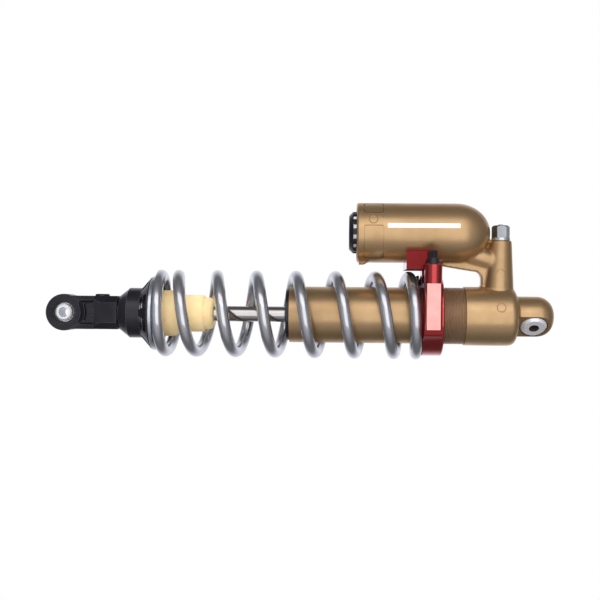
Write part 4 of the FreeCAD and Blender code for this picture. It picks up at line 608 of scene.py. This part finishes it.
# %% Helpers for milled forms
def arc(centre_along, centre_out, radius, start, end, steps=12):
    """Corners along an arc, with angles in degrees from the axis."""
    angles = [math.radians(start + (end - start) * step / steps) for step in range(steps + 1)]
    return [(centre_along + radius * math.cos(a), centre_out + radius * math.sin(a))
            for a in angles]


def loft(rings):
    """A solid through closed rings of corners, each ring as long as the next."""
    shape = bmesh.new()
    loops = []
    for ring in rings:
        spots = [shape.verts.new(Vector(spot) * MM) for spot in ring]
        loops.append([shape.edges.new(pair) for pair in zip(spots, spots[1:] + spots[:1])])
    for near, far in zip(loops, loops[1:]):
        bmesh.ops.bridge_loops(shape, edges=near + far)
    for end in (loops[0], loops[-1]):
        bmesh.ops.contextual_create(shape, geom=end)
    bmesh.ops.recalc_face_normals(shape, faces=shape.faces)
    return shape


def placed(shape, name):
    """A bmesh as an object for modifiers to work on."""
    data = bpy.data.meshes.new(name)
    shape.to_mesh(data)
    shape.free()
    thing = bpy.data.objects.new(name, data)
    scene.collection.objects.link(thing)
    return thing


def evaluated(thing):
    """The mesh of an object with its modifiers applied, as a bmesh. The object goes."""
    bpy.context.view_layer.update()
    final = thing.evaluated_get(bpy.context.evaluated_depsgraph_get())
    data = bpy.data.meshes.new_from_object(final)
    shape = bmesh.new()
    shape.from_mesh(data)
    bpy.data.objects.remove(thing)
    bpy.data.meshes.remove(data)
    return shape


def machined(shape, cutters):
    """Cuts tools out of a form, one after the other."""
    blank = placed(shape, "blank")
    tools = []
    for index, cutter in enumerate(cutters):
        bmesh.ops.recalc_face_normals(cutter, faces=cutter.faces)
        tool = placed(cutter, f"tool_{index}")
        tools.append(tool)
        cut = blank.modifiers.new(f"cut_{index}", "BOOLEAN")
        cut.operation = "DIFFERENCE"
        cut.solver = "MANIFOLD"
        cut.object = tool
    result = evaluated(blank)
    for tool in tools:
        bpy.data.objects.remove(tool)
    return result


print("helpers for milled forms ready")

# %% [markdown]
# ## Pockets in the clevis
# The clevis is milled out between its eye and its block, with walls that lean outwards. The walls
# follow the eye's ring on one side and meet the block on the other. A thin lining with leaning
# walls goes into each of the clevis's straight pockets, so the clevis keeps its own form.

# %% Line the pockets
BLOCK_END = -449.1
LINING_DEPTHS = (14.8, 11.5)
LINING_OUTLINE = (18, 12.9, 3.2)
OPENING_OUTLINES = [(15.2, (18.0, 12.95, 3.2)), (14.6, (18.3, 12.5, 3.0)), (11.2, (22.3, 9.9, 1.6))]


def pocket_ring(across, outline, right):
    """A pocket's outline at one depth: the eye's ring, half its height and its corners' radius."""
    ring, half_height, corner = outline
    reach = math.sqrt((ring + corner) ** 2 - (half_height - corner) ** 2)
    slope = math.degrees(math.atan2(half_height - corner, reach))
    middle = LOWER_EYE + reach
    spots = [(right, -half_height), (right, half_height)]
    spots += arc(middle, half_height - corner, corner, 90, 180 + slope, 6)
    spots += arc(LOWER_EYE, 0, ring, slope, -slope, 12)[1:-1]
    spots += arc(middle, corner - half_height, corner, 180 - slope, 270, 6)
    return [(along, across, height) for along, height in spots]


for side, side_name in ((-1, "near"), (1, "far")):
    lining = loft([pocket_ring(side * depth, LINING_OUTLINE, BLOCK_END - 0.1)
                   for depth in LINING_DEPTHS])
    opening = loft([pocket_ring(side * depth, outline, BLOCK_END + 1)
                    for depth, outline in OPENING_OUTLINES])
    settle(machined(lining, [opening]), f"pocket_walls_{side_name}", "rod_group", "black_anodised",
           sharp=25)

# %% [markdown]
# ## Turned pieces
# Most of a damper is turned on a lathe. The same can be done here: draw half a section, round its
# corners as a tool would leave them, and spin it once round the axis. A section is a row of
# corners, each with its place along the axis and its radius.


# %% The lathe
def section(corners, rounding):
    """Half a section as edges in the plane of the axis, with rounded corners."""
    shape = bmesh.new()
    spots = [shape.verts.new(Vector((along, 0, radius)) * MM) for along, radius in corners]
    ends_on_axis = corners[0][1] == 0 and corners[-1][1] == 0
    for first, second in zip(spots, spots[1:] + ([] if ends_on_axis else spots[:1])):
        shape.edges.new((first, second))
    if rounding:
        bmesh.ops.bevel(shape, geom=[spot for spot in spots if spot.co.z > 0],
                        offset=rounding * MM, offset_type="OFFSET", segments=3, profile=0.5,
                        affect="VERTICES", clamp_overlap=True, material=-1)
    return shape


def turned(corners, rounding=0, steps=128):
    """A form spun once round the axis, with its seam closed."""
    shape = section(corners, rounding)
    bmesh.ops.spin(shape, geom=shape.verts[:] + shape.edges[:], cent=(0, 0, 0), axis=(1, 0, 0),
                   angle=math.tau, steps=steps, use_merge=True)
    bmesh.ops.remove_doubles(shape, verts=shape.verts, dist=0.002 * MM)
    bmesh.ops.recalc_face_normals(shape, faces=shape.faces)
    return shape


print("lathe ready")

# %% [markdown]
# ## Damper tube
# Below the head the tube carries a fine thread for the preload nut, and its metal looks browner
# there. The thread is turned as many small grooves. A true helix would look much the same at so
# small a pitch, and it would take a sweep and a Boolean instead of one spin.

# %% Turn the tube
TUBE_END = -247.4
TUBE_RADIUS = 28.7
TUBE_BORE = 25
SPIGOT_RADIUS = 27
OUTSIDE = 27.5
JOINT = -69.6
SPIGOT_END = JOINT + 12
THREAD_BAND = 49.4
THREAD_PITCH = 1.5
THREAD_CREST = 29.0
THREAD_ROOT = 28.2
GROOVE = [(0.45, THREAD_CREST), (0.75, THREAD_CREST), (1.2, THREAD_ROOT)]
thread = [(JOINT, 28.4)]
for index in range(int(THREAD_BAND / THREAD_PITCH)):
    start = JOINT - THREAD_PITCH * index
    thread += [(start - run, radius) for run, radius in GROOVE]
tube_corners = [(TUBE_END, TUBE_BORE), (SPIGOT_END, TUBE_BORE), (SPIGOT_END, SPIGOT_RADIUS),
                (JOINT, SPIGOT_RADIUS), *thread, (JOINT - THREAD_BAND - 1.5, TUBE_RADIUS),
                (TUBE_END, TUBE_RADIUS)]
tube = settle(turned(tube_corners, rounding=0.12), "damper_tube_turned", "damper_body",
              "bronze_anodised", ("damper_tube",), sharp=50)


def on_thread(face):
    """Whether a face of the tube is on its outside and within the threaded band."""
    radius = math.hypot(face.center.y, face.center.z)
    return radius > OUTSIDE * MM and face.center.x > (JOINT - THREAD_BAND - 1) * MM


refinish(tube, "thread_brown", on_thread)

# %% [markdown]
# ## Rod and dust cap
# The rod slides in the tube on a film of oil, so it is ground and chromed, with a bore for the
# rebound needle and a shoulder for the piston. The dust cap closes the tube round it. Both are
# plain turned parts, and only the rounding of their corners differs.

# %% Turn the rod and the dust cap
ROD_SECTION = [(-419.6, 2.6), (-190, 2.6), (-190, 6), (-217.7, 6), (-217.7, 8), (-399, 8),
               (-399, 7), (-419.6, 7)]
DUST_CAP_SECTION = [(-251, 9.2), (-249.6, 9.2), (-249.6, 12), (-245.8, 12), (-245.8, 24.9),
                    (-247.4, 24.9), (-247.4, 26.6), (-251, 26.6)]
settle(turned(ROD_SECTION, rounding=0.2), "piston_rod_ground", "rod_group", "hard_chrome",
       ("piston_rod",))
settle(turned(DUST_CAP_SECTION, rounding=0.7), "dust_cap_turned", "damper_body", "black_anodised",
       ("dust_cap",))

# %% [markdown]
# ## Head casting
# Head, lug, column, keel and reservoir are one casting. Rough forms are joined, melted together
# and smoothed, which gives every inner corner the soft fillet of a mould. A bevel often fails where
# so many round forms meet, and a voxel remesh copes with any of them. Its grid is a millimetre,
# fine enough for fillets, and the crisp edges come later, when the machined places are cut.


# %% Helpers for the casting
def shifted(along=0, across=0, height=0):
    """A place along the shock, across it and above its axis, as a matrix."""
    return Matrix.Translation(Vector((along, across, height)) * MM)


def sized(along, across, height):
    """The three sizes of a block, as a matrix for a cube of size 1."""
    return Matrix.Diagonal((along * MM, across * MM, height * MM, 1))


def moved(shape, place):
    """The same form after a matrix has put it in its place."""
    bmesh.ops.transform(shape, matrix=place, verts=shape.verts)
    return shape


def joined(parts):
    """Several bmeshes as one."""
    whole = bmesh.new()
    for part in parts:
        held = bpy.data.meshes.new("held")
        part.to_mesh(held)
        part.free()
        whole.from_mesh(held)
        bpy.data.meshes.remove(held)
    return whole


def slab(corners, half_width):
    """A plate across the shock with an outline seen from the side."""
    return loft([[(along, side * half_width, height) for along, height in corners]
                 for side in (-1, 1)])


def cone(foot_radius, top_radius, length, segments, place):
    """A closed cone round the Z axis, put in its place by a matrix."""
    shape = bmesh.new()
    bmesh.ops.create_cone(shape, cap_ends=True, segments=segments, radius1=foot_radius * MM,
                          radius2=top_radius * MM, depth=length * MM, matrix=place)
    return shape


def melted(shape, grid, rounds):
    """Joins overlapping forms into one skin and smooths it, as a casting is."""
    lump = placed(shape, "lump")
    melt = lump.modifiers.new("melt", "REMESH")
    melt.mode = "VOXEL"
    melt.voxel_size = grid * MM
    skin = evaluated(lump)
    for _ in range(rounds):
        bmesh.ops.smooth_vert(skin, verts=skin.verts, factor=0.5, use_axis_x=True,
                              use_axis_y=True, use_axis_z=True)
    return skin


print("helpers for the casting ready")

# %% [markdown]
# ## Rough forms
# The head is a round can with a nose that becomes the upper eye. The column leans a little on its
# way up to the adjuster. The elbow leads the oil from it into the reservoir, the keel fills the
# corner below, and a heel thickens the reservoir's open end.

# %% Join and melt the rough forms
RESERVOIR_HEIGHT = 84.5
RESERVOIR_RADIUS = 30.5
RESERVOIR_END = -179.5
RESERVOIR_SPARE = 6
DOME_START = -78
DOME_DEPTH = 34.7
VALVE_PLACE = -32.5
COLUMN_TOP = 77.5
COLUMN_FOOT = (-35.5, 16)
ELBOW_PLACE = (-51.4, 59.5)
ELBOW_SLOPE = -0.33
IN_RESERVOIR = shifted(height=RESERVOIR_HEIGHT)

head = turned([(-74, 0), (-17, 0), *arc(-25, 22, 8, 0, 90, 6), (-74, 30)])
nose = turned([(-25, 0), *arc(4.2, 3.6, 17, 0, 90), (-25, 20.6)])
rise = COLUMN_TOP - COLUMN_FOOT[1]
lean = (VALVE_PLACE - COLUMN_FOOT[0]) / rise
leaning = Matrix(((1, 0, lean, (COLUMN_FOOT[0] + VALVE_PLACE) / 2 * MM), (0, 1, 0, 0),
                  (0, 0, 1, (COLUMN_FOOT[1] + COLUMN_TOP) / 2 * MM), (0, 0, 0, 1)))
column = cone(foot_radius=17, top_radius=11.2, length=rise, segments=96, place=leaning)
lying = Matrix(((0, 0, 1, ELBOW_PLACE[0] * MM), (0, 1, 0, 0),
                (1, 0, ELBOW_SLOPE, ELBOW_PLACE[1] * MM), (0, 0, 0, 1)))
elbow = cone(foot_radius=12.5, top_radius=11, length=31.8, segments=64, place=lying)
bmesh.ops.recalc_face_normals(elbow, faces=elbow.faces)
keel = slab([(-96, 56), (-92, 50.6), *arc(-59.6, 38.6, 7, 97, 0), (-52.4, 27), (-36, 27),
             (-36, 58)], 7)
heel = slab([(-186, 58), (-186, 51.6), (-171.5, 51.6), (-167, 55), (-167, 58)], 9)
dome = [(DOME_START + DOME_DEPTH * along, RESERVOIR_RADIUS * out)
        for along, out in arc(0, 0, 1, 0, 90, 24)]
reservoir = moved(turned([(RESERVOIR_END - RESERVOIR_SPARE, 0), *dome,
                          (RESERVOIR_END - RESERVOIR_SPARE, RESERVOIR_RADIUS)]), IN_RESERVOIR)
cast = melted(joined([head, nose, column, elbow, keel, heel, reservoir]), grid=1.0, rounds=9)
print("casting", len(cast.faces), "faces")

# %% [markdown]
# ## Marks on the casting
# The reservoir's rim carries two raised panels inside narrow grooves, and three small round marks
# stand on the head, the column and the reservoir. A groove is cut as a block bent round the rim
# with rounded corners, and the panel is then set back into it. A round mark is what stays inside a
# thin ring that is cut away.

# %% Shape the marks
CORNER_STEPS = 6
PANEL_STEPS = 12


def bent_block(along, width, low, high, inner, outer, corner=2.6):
    """A block bent round the reservoir between two angles above the side, with round corners."""
    to_angle = 180 / (math.pi * outer)
    quarter = [math.radians(step * 90 / CORNER_STEPS) for step in range(CORNER_STEPS + 1)]
    rounded = [corner * (1 - math.cos(angle)) for angle in quarter]
    inset = [corner - math.sqrt(corner**2 - (corner - run) ** 2) for run in rounded]
    ends = list(zip(rounded, inset))
    middle = [low + (high - low) * step / PANEL_STEPS for step in range(1, PANEL_STEPS)]
    stops = [(low + run * to_angle, back) for run, back in ends]
    stops += [(angle, 0) for angle in middle
              if corner * to_angle < angle - low < high - low - corner * to_angle]
    stops += [(high - run * to_angle, back) for run, back in reversed(ends)]
    rings = []
    for angle, back in stops:
        out = Vector((0, -math.cos(math.radians(angle)), math.sin(math.radians(angle))))
        left, right = Vector((along + back, 0, 0)), Vector((along + width - back, 0, 0))
        rings.append([left + out * inner, right + out * inner, right + out * outer,
                      left + out * outer])
    return moved(loft(rings), IN_RESERVOIR)


def ring_mark(along, centre_height, surface, rise, size):
    """A thin ring to cut round a cast-in mark, on a round surface at an angle above the side."""
    ring = turned(arc(0, size, 0.6, 0, 330, 11), steps=48)
    c, s = math.cos(math.radians(rise)), math.sin(math.radians(rise))
    return moved(ring, Matrix((
        (0, 1, 0, along * MM), (-c, 0, s, -surface * c * MM),
        (s, 0, c, (centre_height + surface * s) * MM), (0, 0, 0, 1))))


PANEL_START = -172.7
PANEL_WIDTH = 20.1
PANEL_ANGLES = [(38, 75), (-60, 11.5)]
marks = [bent_block(PANEL_START, PANEL_WIDTH, low, high, inner=29.0, outer=34)
         for low, high in PANEL_ANGLES]
marks += [ring_mark(-163.2, RESERVOIR_HEIGHT, surface=30.2, rise=22.5, size=4.1),
          ring_mark(-35.5, 0, surface=29.7, rise=17.5, size=4.3),
          ring_mark(-34.3, 45, surface=13.4, rise=0, size=3)]
print(len(marks), "marks to cut")

# %% [markdown]
# ## Machined places
# The joint face and the tube's seat are turned, the reservoir is bored and its rim rounded, and a
# fine seam runs round it. The eye is bored along the tilted bolt, two flats make its lug, and a
# stepped bore takes the adjuster. Each of these tools is larger than the metal that it takes away,
# so no skin is left behind.

# %% Machine the casting
RESERVOIR_BORE = 27
RIM_ROUNDING = 2.5
SEAT_END = JOINT + 14
LUG_FLAT = 23.9
BOLT_WAY = Matrix(((0, 1, 0, 0), (-math.cos(BOLT_TILT), 0, -math.sin(BOLT_TILT), 0),
                   (-math.sin(BOLT_TILT), 0, math.cos(BOLT_TILT), 0), (0, 0, 0, 1)))
UP_THE_COLUMN = Matrix(((0, 0, -1, VALVE_PLACE * MM), (0, 1, 0, 0), (1, 0, 0, 0), (0, 0, 0, 1)))

joint_face = turned([(-80, 0), (-34, 0), (-34, 21), (-38, TUBE_BORE), (SEAT_END, TUBE_BORE),
                     (SEAT_END, SPIGOT_RADIUS), (JOINT, SPIGOT_RADIUS), (JOINT, 34), (-80, 34)])
rim_edge = [(RESERVOIR_END + RIM_ROUNDING * (1 - math.cos(a)),
             30.6 - RIM_ROUNDING * (1 - math.sin(a)))
            for a in (math.radians(step * 15) for step in range(7))]
hollow = moved(turned([(-192, 0), *arc(DOME_START, 0, RESERVOIR_BORE, 0, 90),
                       (RESERVOIR_END, RESERVOIR_BORE), *rim_edge,
                       (RESERVOIR_END + RIM_ROUNDING, 36), (-192, 36)]), IN_RESERVOIR)
seam = moved(turned([(-152.9, 30.1), (-152.5, 30.1), (-152.5, 33), (-152.9, 33)]), IN_RESERVOIR)
eye_bore = moved(turned([(-24, 0), (24, 0), (24, 14.2), (9, 14.2), (9, 13.5), (-9, 13.5),
                         (-9, 14.2), (-24, 14.2)]), BOLT_WAY)
lug_flats = bmesh.new()
for side in (-1, 1):
    place = BOLT_WAY @ shifted(side * LUG_FLAT, 4, 0) @ sized(20, 41.2, 48)
    bmesh.ops.create_cube(lug_flats, size=1, matrix=place)
valve_bore = moved(turned([(19, 0), (90, 0), (90, 8.5), (47.5, 8.5), (47.5, 3.5), (19, 3.5)]),
                   UP_THE_COLUMN)
cast = machined(cast, [joined([joint_face, hollow, seam]), eye_bore, lug_flats, valve_bore,
                       joined(marks)])
settle(cast, "head_casting_cast", "damper_body", "bronze_anodised", ("head_casting",), sharp=30)

# %% [markdown]
# ## Panels and strip
# The two panels are smaller than their grooves all round, and end just below the rim's surface.
# A plain white strip lies along the reservoir. All three are bent blocks too, so they follow its
# curve.

# %% Set the panels and the strip
PANEL_GROOVE = 0.9
groove_angle = math.degrees(PANEL_GROOVE / RESERVOIR_RADIUS)
panels = joined([
    bent_block(PANEL_START + PANEL_GROOVE, PANEL_WIDTH - 2 * PANEL_GROOVE, low + groove_angle,
               high - groove_angle, inner=28.6, outer=30.4, corner=2.0)
    for low, high in PANEL_ANGLES])
settle(panels, "rim_panels", "damper_body", "bronze_anodised", sharp=40)
strip = bent_block(along=-149, width=72, low=6.2, high=14.8, inner=30.2, outer=30.5, corner=0.8)
settle(strip, "plain_strip", "damper_body", "white_strip", sharp=40)

# %% [markdown]
# ## End cap
# The reservoir is closed by a black cap with a wide chamfer and a ring of notches for its tool.
# The cap is turned on the lathe, and a block that moves on by a twelfth of a circle each time
# cuts the notches. Their floor is a bright ring inside the cap.

# %% Close the reservoir
CAP_SECTION = [(-187.3, 8.5), (-184.3, 8.5), (-184.3, 3.5), (-163.5, 3.5), (-163.5, 27),
               (-174.5, 27), (-174.5, 21.9), (-179.5, 21.3), (-183.3, 21.3), (-187.3, 17.3)]
NOTCH_FLOOR_SECTION = [(-183, 19), (-179.8, 19), (-179.8, 20), (-183, 20)]
NOTCHES = 12
notch_block = shifted(-181.4, 0, 21.9) @ sized(3.2, 6.6, 4)
notches = bmesh.new()
for index in range(NOTCHES):
    turn = Matrix.Rotation(math.tau * (index + 0.5) / NOTCHES, 4, "X")
    bmesh.ops.create_cube(notches, size=1, matrix=turn @ notch_block)
cap = moved(machined(turned(CAP_SECTION, rounding=0.4), [notches]), IN_RESERVOIR)
settle(cap, "reservoir_cap_cut", "damper_body", "black_anodised", ("reservoir_cap",), sharp=30)
notch_floor = moved(turned(NOTCH_FLOOR_SECTION, rounding=0.1), IN_RESERVOIR)
settle(notch_floor, "cap_notch_floor", "damper_body", "white_strip")

# %% [markdown]
# ## Compression adjuster
# On top of the column stands the compression adjuster, a hexagon for a spanner with a screw in its
# middle. A cone of six sides and equal ends is a hexagon. A turned tool takes its upper corners
# off, as on any nut, and a round one bores it for the screw.

# %% Top the column
HEX_RADIUS = 9.24
HEX_TURN = 0.5236
SCREW_RADIUS = 2.9
hex_low, hex_high = (corner.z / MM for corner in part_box("high_speed_adjuster"))
hexagon = cone(HEX_RADIUS, HEX_RADIUS, hex_high - hex_low, 6,
               shifted(VALVE_PLACE, 0, (hex_low + hex_high) / 2)
               @ Matrix.Rotation(HEX_TURN, 4, "Z"))
chamfer = moved(turned([(hex_high - 2, 9.5), (hex_high + 1, 6.6), (hex_high + 1, 12),
                        (hex_high - 2, 12)]), UP_THE_COLUMN)
well = moved(turned([(hex_low - 1, 0), (hex_high + 2, 0), (hex_high + 2, SCREW_RADIUS),
                     (hex_low - 1, SCREW_RADIUS)], steps=48), UP_THE_COLUMN)
adjuster = settle(machined(hexagon, [chamfer, well]), "adjuster_hexagon", "high_speed_adjuster",
                  "silver_anodised", ("high_speed_adjuster",), sharp=25)
# The hexagon takes the darker silver.
adjuster.data.materials[0] = finishes["dark_silver_and_bore_shade"]
round_edges(adjuster, width=0.3)

# %% [markdown]
# ## Main spring
# The wire is wound at an even pitch and closes up at both ends, where it is ground flat. It
# follows the same winding law as the solid. The wire always climbs by the small pitch of its
# closed ends, and between two stretches in which the coil opens and closes it climbs by an extra
# pitch, which is worked out so that the spring has its right length.

# %% The winding law
SPRING_LOW = -382.9
SPRING_HIGH = -113.8
COIL_RADIUS = 39
END_PITCH = 8.6
FIRST_TURN = -0.25
LAST_TURN = 7.95
COIL_OPENS = (0.24, 1.22)
COIL_CLOSES = (6.27, 7.57)
open_turns = (sum(COIL_CLOSES) - sum(COIL_OPENS)) / 2
extra_pitch = (SPRING_HIGH - SPRING_LOW - END_PITCH * (LAST_TURN - FIRST_TURN)) / open_turns


def risen(turn, start, full):
    """Turns gained so far by a pitch that grows evenly from a start until it is full."""
    if turn <= start:
        return 0
    if turn >= full:
        return turn - (start + full) / 2
    return (turn - start) ** 2 / (2 * (full - start))


def wire_place(turn):
    """The middle of the wire after a number of turns."""
    along = SPRING_LOW + END_PITCH * (turn - FIRST_TURN)
    along += extra_pitch * (risen(turn, *COIL_OPENS) - risen(turn, *COIL_CLOSES))
    angle = math.tau * turn
    return Vector((along, -COIL_RADIUS * math.sin(angle), COIL_RADIUS * math.cos(angle))) * MM


print("open pitch", round(END_PITCH + extra_pitch, 2), "mm")

# %% [markdown]
# ## Winding and grinding
# A curve with a round bevel makes the wire, because it keeps the section square to the wire's way
# all along. Two planes then cut the ends flat, and each cut is filled with a face.

# %% Wind the spring
WIRE_RADIUS = 6
STEPS_PER_TURN = 64
GRINDING = 0.02
wire = bpy.data.curves.new("wire", "CURVE")
wire.dimensions = "3D"
wire.bevel_depth = WIRE_RADIUS * MM
wire.bevel_resolution = 7
wire.use_fill_caps = True
steps = int((LAST_TURN - FIRST_TURN) * STEPS_PER_TURN)
line = wire.splines.new("POLY")
line.points.add(steps)
for step, point in enumerate(line.points):
    point.co = (*wire_place(FIRST_TURN + step / STEPS_PER_TURN), 1)
wound = bpy.data.objects.new("wire", wire)
scene.collection.objects.link(wound)
coil = evaluated(wound)
for ground, outwards in ((SPRING_LOW + GRINDING, -1), (SPRING_HIGH - GRINDING, 1)):
    cut = bmesh.ops.bisect_plane(coil, geom=coil.verts[:] + coil.edges[:] + coil.faces[:],
                                 plane_co=(ground * MM, 0, 0), plane_no=(outwards, 0, 0),
                                 clear_outer=True)
    rim = [item for item in cut["geom_cut"] if isinstance(item, bmesh.types.BMEdge)]
    bmesh.ops.edgenet_fill(coil, edges=rim)
bmesh.ops.recalc_face_normals(coil, faces=coil.faces)
spring = settle(coil, "coil_spring", "spring_carriage", "spring_paint", ("main_spring",),
                sharp=40)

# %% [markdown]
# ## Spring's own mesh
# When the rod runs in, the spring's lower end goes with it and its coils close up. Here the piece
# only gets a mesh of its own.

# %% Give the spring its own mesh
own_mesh(spring)

# %% [markdown]
# ## Bump stop
# The bump stop is moulded foam. It starts wide at its base, narrows in two stages and has shallow
# grooves where it is meant to fold first when the rod runs in. It is as round as the rod, so it is
# turned too, from a section with its grooves in it. Its base gets the black rubber finish as
# painted shade, where the spring retainer's windows look in.

# %% Mould the bump stop
PAINTED_SHADE_BASE_END = -388.5
FOAM_SECTION = [
    (-397.3, 8.3), (-326, 8.3), (-326, 12.5), (-326.6, 14.4), (-328.4, 15.9), (-330.5, 16.4),
    (-333.4, 16.5), (-334.4, 16.2), (-335.2, 16.9), (-335.9, 18.4), (-337.5, 18.9),
    (-348.9, 18.9), (-350, 18.75), (-350.7, 18.5), (-351.4, 18.75), (-352.4, 18.95),
    (-355.6, 19.0), (-358.4, 19.5), (-361.4, 20.8), (-364, 22.4), (-366.4, 23.4), (-369, 23.7),
    (-379, 23.7), (-382, 23.2), (-385.4, 21.4), (-388.2, 20.1), (-397.3, 20)]
bump_stop = settle(turned(FOAM_SECTION, steps=96), "foam_bump_stop", "rod_group", "cream_foam",
                   ("bump_stop",), sharp=60)
# Painted shade: the foam's base gets the black rubber finish, where the retainer's windows look in.
refinish(bump_stop, "black_rubber", lambda face: face.center.x < PAINTED_SHADE_BASE_END * MM)
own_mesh(bump_stop)
